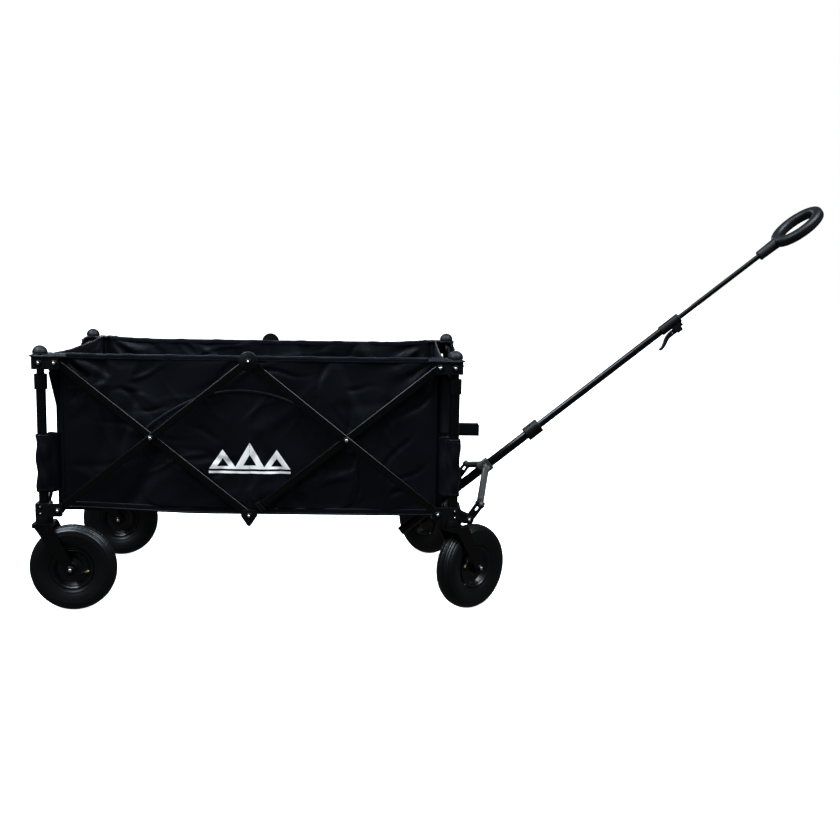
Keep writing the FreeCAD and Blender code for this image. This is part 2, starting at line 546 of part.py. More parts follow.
# outer pocket on the near side
pw = SPAN * 0.58
pocket = prism([(-pw, -ty - 2, Z_LOW + 15), (pw, -ty - 2, Z_LOW + 15), (pw, -ty - 2, Z_MID + 66), (60, -ty - 2, Z_MID + 84),
                (-20, -ty - 2, Z_MID + 101), (-90, -ty - 2, Z_MID + 96), (-pw, -ty - 2, Z_MID + 66)], V(0, 2.5, 0))
tub = tub.fuse(pocket)
for fx in (-1, 1):
    for fy in (-1, 1):
        ox, oy = fx * XP, fy * YP
        xs, ys = sorted((ox + fx * 14, fx * (tx - 14))), sorted((oy + fy * 14, fy * (ty - 14)))
        flap = box(xs[0], xs[1], ys[0], ys[1], TUB_RIM - 4.5, TUB_RIM - 1)
        flap = softened(flap, 8, lambda e: abs(e.tangentAt(e.FirstParameter).z) > 0.99)
        flap = flap.cut(cyl(INNER_R + 0.4, V(ox, oy, 500), V(ox, oy, 700)))
        # keep the inside of the tub clear
        flap = flap.cut(outline(tx - TUB_T, ty - TUB_T, CHAMFER - 1, TUB_BOTTOM + 3).extrude(V(0, 0, 500)))
        sleeve = ring(POST_R + 2.6, POST_R + 0.4, V(ox, oy, Z_LOW + 45), V(ox, oy, Z_LOW + 175))
        dx, dy = XP - tx + CHAMFER / 2, YP - ty + CHAMFER / 2
        web = box(POST_R + 1.5, math.hypot(dx, dy) + 0.8, -1.2, 1.2, Z_LOW + 45, Z_LOW + 175)
        web.rotate(V(0, 0, 0), Z, math.degrees(math.atan2(-fy * dy, -fx * dx)))
        web.translate(V(ox, oy, 0))
        tub = tub.fuse(flap).fuse(sleeve).fuse(web)
tub = tub.removeSplitter()
save("tub", tub)
board = outline(tx - TUB_T - 0.5, ty - TUB_T - 0.5, CHAMFER - 1, TUB_BOTTOM + 3).extrude(V(0, 0, BOARD_T))
save("base_board", board)
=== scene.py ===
"""Folding wagon with a fabric tub, scissor frame, air-filled wheels and a telescopic pull handle.

Each operator makes one piece or one group of like pieces in the frame's own metres; main() runs them in order.
"""

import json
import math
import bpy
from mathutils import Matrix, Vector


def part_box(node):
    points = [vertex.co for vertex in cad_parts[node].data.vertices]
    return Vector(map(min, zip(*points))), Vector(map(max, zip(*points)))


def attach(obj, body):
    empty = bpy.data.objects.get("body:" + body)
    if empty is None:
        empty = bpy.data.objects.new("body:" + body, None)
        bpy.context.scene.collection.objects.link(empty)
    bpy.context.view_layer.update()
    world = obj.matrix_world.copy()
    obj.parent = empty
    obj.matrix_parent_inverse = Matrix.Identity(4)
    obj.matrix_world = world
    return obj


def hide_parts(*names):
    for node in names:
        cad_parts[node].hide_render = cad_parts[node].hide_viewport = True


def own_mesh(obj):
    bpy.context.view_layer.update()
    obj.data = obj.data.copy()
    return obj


bl_info = {
    "name": "Folding Wagon",
    "version": (1, 0, 0),
    "blender": (4, 5, 0),
    "location": "View3D > Sidebar > Wagon",
    "description": "Builds the soft goods, wheels, fittings and finishes of a folding hand wagon",
    "category": "Add Mesh",
}

import bmesh
import bpy
import numpy as np
from bpy.props import FloatProperty, FloatVectorProperty, IntProperty, PointerProperty
from mathutils import Matrix, Vector

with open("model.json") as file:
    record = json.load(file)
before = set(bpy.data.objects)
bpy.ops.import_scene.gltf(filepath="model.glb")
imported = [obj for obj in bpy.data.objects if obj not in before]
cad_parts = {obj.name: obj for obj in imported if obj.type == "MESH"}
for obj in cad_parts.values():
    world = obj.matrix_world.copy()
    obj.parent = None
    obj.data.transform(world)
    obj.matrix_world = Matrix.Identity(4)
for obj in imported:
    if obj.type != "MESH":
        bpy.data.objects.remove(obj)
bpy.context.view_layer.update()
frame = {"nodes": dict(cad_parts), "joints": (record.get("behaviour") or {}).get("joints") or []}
UP = (0, 0, 1)


def mid(node):
    """Middle of a frame node's box."""
    lo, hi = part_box(node)
    return (np.array(lo) + np.array(hi)) / 2


GROUND = float(min(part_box("tyre_" + k)[0][2] for k in ("rn", "rf", "fn", "ff")))
POST = np.array([abs(mid("inner_post_rn")[0]), abs(mid("inner_post_rn")[1])])
TUB_LO, TUB_HI = (np.array(c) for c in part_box("base_board"))
HX, HY = TUB_HI[0] + 0.0023, TUB_HI[1] + 0.0023      # outside of the tub's walls
Z0, Z1 = TUB_LO[2] - 0.003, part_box("inner_post_rn")[1][2] - 0.018      # the tub's foot and rim
CORNER = 0.0135      # how much of each corner the gussets cut off
END_X, END_Y = HX - CORNER, HY - CORNER      # half-lengths of the walls
DRAW_X, DRAW_Y = 0.6042, 0.2941      # how far a wall's free end comes in at full fold, with a little room
FLOOR_X, FLOOR_Y = HX - 0.004, HY - 0.0022
POCKET_HALF, POCKET_TOP = 0.25, 0.27
CHEEK = 0.017      # from the posts' plane to a bracket's face

CORNERS = {"rn": (-1, -1, "rear_near"), "rf": (-1, 1, "rear_far"),
           "fn": (1, -1, "front_near"), "ff": (1, 1, "front_far")}
# each wall: the body it rides on, the axis it gathers along, its fixed end, and the share of its length left folded
WALLS = {
    "near": ("rear_near_head", (1, 0, 0), (-END_X, -HY, 0), 1 - DRAW_X / (2 * END_X)),
    "far": ("rear_far_head", (1, 0, 0), (-END_X, HY, 0), 1 - DRAW_X / (2 * END_X)),
    "rear": ("rear_near_head", (0, 1, 0), (-HX, -END_Y, 0), 1 - DRAW_Y / (2 * END_Y)),
    "front": ("front_near_head", (0, 1, 0), (HX, -END_Y, 0), 1 - DRAW_Y / (2 * END_Y)),
}
# each floor strip: its two sides, the body it rides on, and the end that it gathers towards
STRIPS = (("near", -FLOOR_Y, -0.148, "rear_near_head", -FLOOR_X),
          ("near_inner", -0.1455, -0.086, "rear_near_leg", -FLOOR_X), ("middle", -0.085, 0.085, "clip", FLOOR_X),
          ("far_inner", 0.086, 0.1455, "rear_far_leg", -FLOOR_X), ("far", 0.148, FLOOR_Y, "rear_far_head", -FLOOR_X))


# ---- shapes
def points(x, y, z):
    """Points from three coordinates, each of them a number or an array."""
    return np.stack(np.broadcast_arrays(x, y, z), -1).astype(float)


def plane(u, v):
    """Two parameters over a rectangle, as two arrays."""
    return np.meshgrid(u, v, indexing="ij")


def grid(P, wrap_u=False, wrap_v=False):
    """Quads over an (nu, nv, 3) array of points: corner (i, j) joins (i+1, j), (i+1, j+1), (i, j+1)."""
    nu, nv = P.shape[:2]
    i, j = np.meshgrid(np.arange(nu if wrap_u else nu - 1), np.arange(nv if wrap_v else nv - 1), indexing="ij")
    i1, j1 = (i + 1) % nu, (j + 1) % nv
    F = np.stack([i * nv + j, i1 * nv + j, i1 * nv + j1, i * nv + j1], -1).reshape(-1, 4)
    return P.reshape(-1, 3), F


def merged(parts):
    """Several (points, faces) pairs as one."""
    base, V, F = 0, [], []
    for v, f in parts:
        V.append(v)
        F.append(f + base)
        base += len(v)
    return np.concatenate(V), np.concatenate(F)


def shell(P, t):
    """A sheet of thickness t: the surface P, a copy set back by t along its normal (the cross product of its two
    slopes), and strips that close the four edges."""
    N = np.cross(np.gradient(P, axis=0), np.gradient(P, axis=1))
    N /= np.linalg.norm(N, axis=2, keepdims=True) + 1e-12
    Q = P - N * t
    nu, nv = P.shape[:2]
    v, f = grid(P)
    g = f[:, ::-1] + nu * nv
    ring = np.concatenate([np.arange(nu) * nv, (nu - 1) * nv + np.arange(1, nv),
                           np.arange(nu - 2, -1, -1) * nv + nv - 1, np.arange(nv - 2, 0, -1)])
    nxt = np.roll(ring, -1)
    side = np.stack([nxt, ring, ring + nu * nv, nxt + nu * nv], -1)
    return np.concatenate([v, Q.reshape(-1, 3)]), np.concatenate([f, g, side])


def sweep(path, ra, rb, up, sides=12, closed=False, power=2.0):
    """A tube along path: at each point a rounded section, ra across and rb along 'up', |x/ra|^p + |y/rb|^p = 1."""
    path = np.asarray(path, float)
    T = np.gradient(path, axis=0) if not closed else np.roll(path, -1, 0) - np.roll(path, 1, 0)
    T /= np.linalg.norm(T, axis=1, keepdims=True)
    B = np.cross(T, np.broadcast_to(np.asarray(up, float), T.shape))
    B /= np.linalg.norm(B, axis=1, keepdims=True)
    U = np.cross(B, T)
    a = np.arange(sides) * 2 * np.pi / sides
    c, s = np.cos(a), np.sin(a)
    c, s = np.sign(c) * abs(c) ** (2 / power), np.sign(s) * abs(s) ** (2 / power)
    P = path[:, None] + ra * c[None, :, None] * B[:, None] + rb * s[None, :, None] * U[:, None]
    if closed:
        return grid(P, True, True)
    P = np.concatenate([np.repeat(path[:1, None], sides, 1), P, np.repeat(path[-1:, None], sides, 1)])
    return grid(P, False, True)


def turned(profile, centre, axis, n=48):
    """Profile points (radius, height along axis) carried round the axis."""
    profile = np.asarray(profile, float)
    axis = np.asarray(axis, float) / np.linalg.norm(axis)
    e = np.cross(axis, [0.0, 0.0, 1.0]) if abs(axis[2]) < 0.9 else np.cross(axis, [1.0, 0.0, 0.0])
    e /= np.linalg.norm(e)
    g = np.cross(axis, e)
    a = np.arange(n) * 2 * np.pi / n
    D = np.cos(a)[:, None] * e + np.sin(a)[:, None] * g
    P = np.asarray(centre) + profile[None, :, 0, None] * D[:, None] + profile[None, :, 1, None] * axis
    return grid(P, True, False)


def facing(P, back):
    """The surface P, run backwards where its other face has to look outwards."""
    return P[::-1] if back else P


def piece(name, shape, maker, body, sharp=None):
    """A mesh object that rides on a body; doubles at poles are merged and the outside is turned outwards."""
    v, f = shape
    me = bpy.data.meshes.new(name)
    me.from_pydata(v.tolist(), [], f.tolist())
    bm = bmesh.new()
    bm.from_mesh(me)
    bmesh.ops.remove_doubles(bm, verts=bm.verts, dist=1e-6)
    bmesh.ops.dissolve_degenerate(bm, edges=bm.edges, dist=1e-7)
    bmesh.ops.recalc_face_normals(bm, faces=bm.faces)
    bm.to_mesh(me)
    bm.free()
    me.polygons.foreach_set("use_smooth", np.ones(len(me.polygons), bool))
    if sharp:
        me.set_sharp_from_angle(angle=math.radians(sharp))
    ob = bpy.data.objects.new(name, me)
    bpy.context.scene.collection.objects.link(ob)
    me.materials.append(paint(maker))
    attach(ob, body)
    return ob


def cloth(name, shape, maker, body, wall=None):
    """A piece of the tub's cloth; where a wall is named, it gets its own copy of the mesh."""
    ob = piece(name, shape, maker, body)
    if wall:
        gather(ob)
    return ob


def creases(A, B, seed, count, length, width, depth, over=None):
    """Soft creases over a sheet: each is a short straight ridge, exp(-(d/width)^2) across and a bell along."""
    r = np.random.default_rng(seed)
    out = np.zeros_like(A)
    a0, a1, b0, b1 = over or (A.min(), A.max(), B.min(), B.max())
    for _ in range(count):
        ca, cb, t = r.uniform(a0, a1), r.uniform(b0, b1), r.uniform(0, math.pi)
        w, L, h = width * r.uniform(0.5, 1.4), length * r.uniform(0.4, 1.3), depth * r.uniform(-1, 1)
        u = (A - ca) * math.cos(t) + (B - cb) * math.sin(t)
        d = -(A - ca) * math.sin(t) + (B - cb) * math.cos(t) + 0.15 * u * np.sin(u / L * 2 + ca * 40)
        out += h * np.exp(-(d / w) ** 2) * np.exp(-(u / L) ** 2)
    return out


def ripple(A, B, seed, size, depth, count=9):
    """Broad waves: a sum of plane waves of about one wavelength, in seeded directions."""
    r = np.random.default_rng(seed)
    out = np.zeros_like(A)
    for _ in range(count):
        t, k, p = r.uniform(0, 2 * math.pi), 2 * math.pi / size * r.uniform(0.6, 1.8), r.uniform(0, 6.3)
        out += np.sin(k * (A * math.cos(t) + B * math.sin(t)) + p)
    return out * depth / math.sqrt(count)


# ---- shader expressions
class Sock:
    """A node's output with arithmetic: a + b, 1 - a and so on add Math nodes."""

    def __init__(self, paint, link):
        self.paint, self.link = paint, link

    def __add__(self, o): return self.paint.math("ADD", self, o)
    def __radd__(self, o): return self.paint.math("ADD", o, self)
    def __sub__(self, o): return self.paint.math("SUBTRACT", self, o)
    def __rsub__(self, o): return self.paint.math("SUBTRACT", o, self)
    def __mul__(self, o): return self.paint.math("MULTIPLY", self, o)
    def __rmul__(self, o): return self.paint.math("MULTIPLY", o, self)
    def __lt__(self, o): return self.paint.math("LESS_THAN", self, o)
    def __gt__(self, o): return self.paint.math("GREATER_THAN", self, o)
    def __abs__(self): return self.paint.math("ABSOLUTE", self)


class Paint:
    """One material: node() makes any node, and the rest are the few patterns used here."""

    def __init__(self, name, **base):
        self.mat = bpy.data.materials.new(name)
        self.mat.use_nodes = True
        self.tree = self.mat.node_tree
        self.bsdf = next(n for n in self.tree.nodes if n.type == "BSDF_PRINCIPLED")
        for k, v in base.items():
            self.bsdf.inputs[k.replace("_", " ")].default_value = v
        self.object = None

    def node(self, kind, settings=None, out=0, **values):
        n = self.tree.nodes.new(kind)
        for k, v in (settings or {}).items():
            setattr(n, k, v)
        for k, v in values.items():
            s = n.inputs[int(k[1:])] if k[0] == "i" and k[1:].isdigit() else n.inputs[k.replace("_", " ")]
            if isinstance(v, Sock):
                self.tree.links.new(v.link, s)
            else:
                s.default_value = v
        return Sock(self, n.outputs[out])

    def math(self, op, *args):
        return self.node("ShaderNodeMath", {"operation": op}, **{"i%d" % k: a for k, a in enumerate(args)})

    def place(self):
        if self.object is None:
            self.object = self.node("ShaderNodeTexCoord", out=3)
        return self.object

    def axes(self):
        n = self.tree.nodes.new("ShaderNodeSeparateXYZ")
        self.tree.links.new(self.place().link, n.inputs[0])
        return [Sock(self, o) for o in n.outputs]

    def noise(self, scale, detail=3.0, rough=0.5):
        return self.node("ShaderNodeTexNoise", None, Vector=self.place(), Scale=scale, Detail=detail, Roughness=rough)

    def wave(self, v, pitch):
        """sin of a length over its pitch, from 0 to 1."""
        return self.math("SINE", v * (2 * math.pi / pitch)) * 0.5 + 0.5

    def ramp(self, v, lo, hi):
        """0 below lo, 1 above hi, straight between."""
        n = self.tree.nodes.new("ShaderNodeMapRange")
        self.tree.links.new(v.link, n.inputs[0])
        n.inputs[1].default_value, n.inputs[2].default_value = lo, hi
        return Sock(self, n.outputs[0])

    def mix(self, f, a, b):
        n = self.tree.nodes.new("ShaderNodeMix")
        n.data_type = "RGBA"
        for s, v in ((n.inputs[0], f), (n.inputs[6], a), (n.inputs[7], b)):
            if isinstance(v, Sock):
                self.tree.links.new(v.link, s)
            else:
                s.default_value = (*v, 1) if isinstance(v, tuple) else v
        return Sock(self, n.outputs[2])

    def set(self, **links):
        for k, v in links.items():
            self.tree.links.new(v.link, self.bsdf.inputs[k.replace("_", " ")])

    def bump(self, height, strength, distance):
        self.set(Normal=self.node("ShaderNodeBump", None, Height=height, Strength=strength, Distance=distance))
        return self.mat


_made = {}


def paint(maker):
    """Each finish is made once."""
    if maker.__name__ not in _made:
        _made[maker.__name__] = maker()
    return _made[maker.__name__]


def powder_coat():
    p = Paint("powder_coat", Specular_IOR_Level=0.28)
    fine, broad = p.noise(900, 3), p.noise(14, 4)
    wear = p.ramp(p.noise(60, 6, 0.7), 0.66, 0.76) * 0.4
    p.set(Base_Color=p.mix(wear, tint("frame"), tint("frame", 5)), Roughness=0.15 + broad * 0.1 + fine * 0.06)
    return p.bump(fine, 0.12, 0.0004)


def link_paint():
    p = Paint("link_paint", Metallic=0.5)
    fine, broad = p.noise(700, 3), p.noise(18, 4)
    p.set(Base_Color=p.mix(broad, tint("links", 0.8), tint("links", 1.25)), Roughness=0.36 + fine * 0.12)
    return p.bump(fine, 0.1, 0.0004)


def moulded_plastic():
    p = Paint("moulded_plastic", Specular_IOR_Level=0.2)
    grain = p.node("ShaderNodeTexVoronoi", None, Vector=p.place(), Scale=950.0)
    broad, scuff = p.noise(25, 4), p.ramp(p.noise(120, 6, 0.75), 0.62, 0.75)
    p.set(Base_Color=p.mix(scuff * 0.3, tint("plastic"), tint("plastic", 4)), Roughness=0.36 + broad * 0.2)
    return p.bump(grain, 0.18, 0.0003)


def post_and_cap():
    """The inner post is coated tube below and a soft rubber cap above."""
    p = Paint("post_and_cap", Specular_IOR_Level=0.3)
    cap = p.axes()[2] > Z1 - 0.001
    fine = p.noise(500, 4)
    p.set(Base_Color=p.mix(cap, tint("frame", 2), tint("rubber", 1.5)), Roughness=0.26 + cap * 0.24 + fine * 0.1,
          Metallic=(1 - cap) * 0.4)
    return p.bump(fine, 0.15, 0.0004)


def tyre_rubber():
    p = Paint("tyre_rubber", Specular_IOR_Level=0.36)
    fine, broad = p.noise(420, 5), p.noise(30, 4)
    dust = p.ramp(p.noise(70, 6, 0.7), 0.5, 0.8)
    p.set(Base_Color=p.mix(dust * 0.35, tint("rubber"), tint("rubber", 3)), Roughness=0.27 + broad * 0.14)
    return p.bump(fine, 0.2, 0.0005)


def rim_plastic():
    p = Paint("rim_plastic", Specular_IOR_Level=0.5)
    fine, broad = p.noise(600, 4), p.noise(22, 4)
    p.set(Base_Color=p.mix(broad, tint("plastic"), tint("plastic", 1.8)), Roughness=0.2 + broad * 0.12)
    return p.bump(fine, 0.1, 0.0004)


def grip_rubber():
    p = Paint("grip_rubber", Specular_IOR_Level=0.3)
    grain = p.node("ShaderNodeTexVoronoi", None, Vector=p.place(), Scale=620.0)
    broad = p.noise(30, 4)
    p.set(Base_Color=p.mix(broad, tint("rubber"), tint("rubber", 1.9)), Roughness=0.4 + broad * 0.15)
    return p.bump(grain, 0.3, 0.0005)


def blackened():
    """Oiled black steel, for washers, nuts and axle ends."""
    p = Paint("blackened", Metallic=0.6, Specular_IOR_Level=0.4)
    fine = p.noise(500, 4)
    p.set(Base_Color=p.mix(fine, tint("frame", 2.5), tint("frame", 5)), Roughness=0.26 + fine * 0.12)
    return p.bump(fine, 0.1, 0.0002)


def zinc():
    p = Paint("zinc", Metallic=1.0)
    fine, broad = p.noise(500, 4), p.noise(90, 4)
    p.set(Base_Color=p.mix(broad, (0.62, 0.62, 0.63), (0.8, 0.8, 0.8)), Roughness=0.24 + fine * 0.14)
    return p.bump(fine, 0.1, 0.0002)


def brass():
    p = Paint("brass", Metallic=1.0)
    fine = p.noise(400, 4)
    p.set(Base_Color=p.mix(fine, (0.72, 0.5, 0.2), (0.9, 0.7, 0.34)), Roughness=0.22 + fine * 0.2)
    return p.bump(fine, 0.1, 0.0002)


def weave(p, u, v, pitch):
    """Plain weave: two crossed sines, over and under in turn."""
    a, b = p.wave(u, pitch), p.wave(v, pitch)
    return a * b + (1 - a) * (1 - b)


EMBLEM_FOOT = 0.090
PEAKS = ((-0.062, 0.032, 0.046), (0.0, 0.036, 0.062), (0.062, 0.032, 0.046))      # middle, half-width and height


def woven(name, dark, light, pitch=0.0016, emblem=False):
    p = Paint(name, Specular_IOR_Level=0.15, Sheen_Weight=0.02, Sheen_Roughness=0.35)
    x, y, z = p.axes()
    w = weave(p, x + y, z, pitch)
    cloud, fleck = p.noise(7, 5), p.noise(260, 3)
    tone = p.mix(p.ramp(cloud, 0.35, 0.7) * 0.6 + w * 0.25 + fleck * 0.15, dark, light)
    rough = 0.36 + cloud * 0.2
    if emblem:      # three plain peaks over a bar, printed
        zz = z - EMBLEM_FOOT
        marks = None
        for at, half, high in PEAKS:
            ax = abs(x - at)
            solid = (ax * (high / half) + zz < high) * (zz > 0.0)
            hollow = (ax * (high / half) + zz < high * 0.55) * (zz > high * 0.14)
            m = solid * (1 - hollow)
            marks = m if marks is None else p.math("MAXIMUM", marks, m)
        bar = (abs(x) < 0.094) * (abs(zz + 0.0075) < 0.0028)
        ink = p.math("MAXIMUM", marks, bar) * (0.9 + 0.1 * fleck)
        tone = p.mix(ink, tone, tint("print"))
        rough = rough * (1 - ink * 0.2)
    p.set(Base_Color=tone, Roughness=rough)
    return p.bump(w * 0.7 + fleck * 0.3, 0.3, 0.0005)


def tub_cloth():
    return woven("tub_cloth", tint("cloth", 0.7), tint("cloth", 1.5))


def pocket_cloth():
    return woven("pocket_cloth", tint("cloth", 0.7), tint("cloth", 1.5), emblem=True)


def lining_cloth():
    return woven("lining_cloth", tint("cloth", 0.7), tint("cloth", 1.4), 0.0012)


def webbing():
    return woven("webbing", tint("cloth", 0.9), tint("cloth", 2.0), 0.0024)


def thread():
    p = Paint("thread", Specular_IOR_Level=0.2)
    fine = p.noise(900, 3)
    p.set(Base_Color=p.mix(fine, tint("cloth", 5), tint("cloth", 10)), Roughness=0.6 + fine * 0.2)
    return p.bump(fine, 0.3, 0.0003)


def pale_floor():
    """A lit white sweep, bright enough that the shadows wash out."""
    p = Paint("pale_floor", Roughness=0.7, Emission_Color=(1.0, 1.0, 1.0, 1.0), Emission_Strength=1.0)
    p.set(Base_Color=p.mix(p.noise(3, 3), (0.9, 0.9, 0.9), (0.93, 0.93, 0.93)))
    return p.mat


# ---- settings
class WagonTub(bpy.types.PropertyGroup):
    cloth: FloatProperty(name="Cloth", description="Thickness of the tub's cloth", default=0.0016, unit="LENGTH")
    slack: FloatProperty(name="Slack", description="Depth of the cloth's creases", default=0.0042, unit="LENGTH")
    hem: FloatProperty(name="Hem", description="Height of the rim's folded hem", default=0.013, unit="LENGTH")
    stitch: FloatProperty(name="Stitch", description="Length of one stitch", default=0.0042, unit="LENGTH")
    piping: FloatProperty(name="Piping", description="Radius of the corner and bottom piping", default=0.0026,
                          unit="LENGTH")


class WagonWheel(bpy.types.PropertyGroup):
    rib: FloatProperty(name="Tread depth", description="Depth of the tread's grooves", default=0.0022, unit="LENGTH")
    blocks: IntProperty(name="Tread pitch", description="Sipes round the tread", default=60)
    valve: FloatProperty(name="Valve", description="Length of the valve stem", default=0.022, unit="LENGTH")


class WagonFinish(bpy.types.PropertyGroup):
    cloth: FloatVectorProperty(name="Cloth", description="Colour of the tub's cloth", subtype="COLOR",
                               default=(0.0017, 0.0023, 0.0042))
    frame: FloatVectorProperty(name="Frame", description="Colour of the powder coat", subtype="COLOR",
                               default=(0.0012, 0.0013, 0.0015))
    plastic: FloatVectorProperty(name="Plastic", description="Colour of the moulded parts", subtype="COLOR",
                                 default=(0.0018, 0.0019, 0.0022))
    rubber: FloatVectorProperty(name="Rubber", description="Colour of tyres and grip", subtype="COLOR",
                                default=(0.0020, 0.0023, 0.0030))
    links: FloatVectorProperty(name="Links", description="Colour of the yoke's links", subtype="COLOR",
                               default=(0.085, 0.083, 0.08))
    print: FloatVectorProperty(name="Print", description="Colour of the pocket's print", subtype="COLOR",
                               default=(0.95, 0.9, 0.86))


class WagonStage(bpy.types.PropertyGroup):
    key: FloatProperty(name="Key light", description="Power of the key light", default=30.0, unit="POWER")
    boxes: FloatProperty(name="Top lights", description="Power of each of the two lights above", default=150.0,
                         unit="POWER")
    back: FloatProperty(name="Back light", description="Power of the light behind", default=45.0, unit="POWER")
    sun: FloatProperty(name="Overhead", description="Strength of the overhead light", default=2.4)
    tint: FloatVectorProperty(name="Light tint", description="Colour of the lights", subtype="COLOR",
                              default=(0.80, 0.91, 1.0))
    sky: FloatProperty(name="Sky", description="Strength of the surrounding light", default=0.1)


def tint(name, by=1.0):
    """A colour of the finish settings, made lighter or darker."""
    return tuple(min(1.0, c * by) for c in getattr(bpy.context.scene.wagon_finish, name))


# ---- the tub
def seam(path, step, r, up):
    """A row of stitches on a path: each is a slim eight-sided spindle lying along the path for 0.7 of a step."""
    path = np.asarray(path, float)
    d = np.concatenate([[0], np.cumsum(np.linalg.norm(np.diff(path, axis=0), axis=1))])
    n = max(2, int(d[-1] / step))
    s = (np.arange(n) + 0.5) * d[-1] / n
    at = lambda q: np.stack([np.interp(q, d, path[:, k]) for k in range(3)], -1)
    C, T = at(s), at(s + step * 0.1) - at(s - step * 0.1)
    T /= np.linalg.norm(T, axis=1, keepdims=True) + 1e-12
    U = np.broadcast_to(np.asarray(up, float), T.shape)
    B = np.cross(T, U)
    B /= np.linalg.norm(B, axis=1, keepdims=True) + 1e-12
    k = np.arange(4) * np.pi / 2 + np.pi / 4
    rings = []
    for q, w in ((-0.35, 0.0), (-0.25, 1.0), (0.25, 1.0), (0.35, 0.0)):
        o = C + T * q * step
        around = np.cos(k)[None, :, None] * B[:, None] + np.sin(k)[None, :, None] * U[:, None]
        rings.append(o[:, None] + w * r * around)
    V = np.stack(rings, 1).reshape(-1, 3)      # four rings of four corners to a stitch
    i, a, b = np.meshgrid(np.arange(n), np.arange(3), np.arange(4), indexing="ij")
    b1 = (b + 1) % 4
    this, above = i * 16 + a * 4, i * 16 + a * 4 + 4
    F = np.stack([this + b, this + b1, above + b1, above + b], -1)
    return V, F.reshape(-1, 4)


def gather(ob):
    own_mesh(ob)


def wall_point(wall, a, z, out):
    """Point on a wall: a along it, z up, out away from the tub's middle."""
    if wall == "near":
        return points(a, -(HY + out), z)
    if wall == "far":
        return points(-a, HY + out, z)
    if wall == "rear":
        return points(-(HX + out), -a, z)
    return points(HX + out, a, z)


def wall_half(wall):
    return END_X if wall in ("near", "far") else END_Y


def top_of(wall, a):
    """Height of a wall's rim: level at the corners, sagging a little between them."""
    sag = {"near": 0.0012, "far": 0.005, "rear": 0.004, "front": 0.004}[wall]
    return Z1 - sag * (1 - np.exp(-((wall_half(wall) - abs(a)) / 0.07) ** 2))


def foot_of(wall, a):
    """Height of a wall's bottom: the near one is drawn up at the rear and hangs slightly at the front."""
    if wall != "near":
        return np.full_like(a, Z0)
    t = np.clip((a + wall_half(wall)) / 0.34, 0, 1)
    return Z0 + 0.007 - 0.0105 * t * t * (3 - 2 * t)


def wall_swell(wall, A, Z, slack):
    """Outward swell of a wall: broad waves, creases and a slight belly, fading to nothing at the four edges."""
    seed = {"near": 3, "far": 5, "rear": 7, "front": 11}[wall]
    half = wall_half(wall)
    edge = np.clip((half - abs(A)) / 0.03, 0, 1) * np.clip((Z1 - Z) / 0.03, 0, 1)
    edge = edge * np.clip((Z - Z0) / 0.02, 0, 1)
    whole = (-half, half, Z0, Z1)
    s = ripple(A, Z, seed, 0.16, slack * 0.4)
    s = s + creases(A, Z, seed, int(80 * half / 0.45), 0.07, 0.006, slack, whole)
    s += creases(A, Z, seed + 50, int(30 * half / 0.45), 0.16, 0.012, slack * 1.2, whole)
    for side in (-1, 1):
        u, v = half - side * A, Z1 - Z
        fan = np.exp(-((np.hypot(u, v) - 0.05) / 0.055) ** 2)
        s += 1.3 * slack * np.sin(11 * np.arctan2(v, u) + seed + side) * fan
    ends = np.clip((half - abs(A) - 0.02) / 0.06, 0, 1)
    return np.clip(s * edge * np.where(s > 0, ends, 1), -0.008, 0.0018 if wall == "near" else 0.0026)


class WAGON_OT_tub(bpy.types.Operator):
    """Four creased cloth walls, each riding on one of the frame's bodies"""
    bl_idname = "wagon.tub"
    bl_label = "Tub walls"

    def execute(self, context):
        s = context.scene.wagon_tub
        for wall in WALLS:
            half = wall_half(wall)
            a = np.linspace(-half, half, int(half * 2 / 0.0042))
            A, T = plane(a, np.linspace(0, 1, 88))
            Z = foot_of(wall, A) * (1 - T) + top_of(wall, A) * T
            P = wall_point(wall, A, Z, wall_swell(wall, A, Z, s.slack))
            ob = cloth("wall_" + wall, shell(P, s.cloth), tub_cloth, WALLS[wall][0])
            half * 2
            gather(ob)
            if wall == "near":
                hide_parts("tub")
        return {"FINISHED"}


def pocket_top(x):
    """Height of the pocket's mouth: an arch, highest a little behind the middle, z = top - 1.9 (x + 0.02)^2."""
    return POCKET_TOP - 1.9 * (x + 0.02) ** 2


def pocket_out(x, z, slack):
    """How far the pocket stands out: over the wall's own swell, with small creases of its own."""
    own = creases(x, z, 21, 40, 0.06, 0.005, 0.0012, (-POCKET_HALF, POCKET_HALF, Z0, POCKET_TOP))
    return wall_swell("near", x, z, slack) + 0.0013 + np.clip(own, 0, 0.0006)


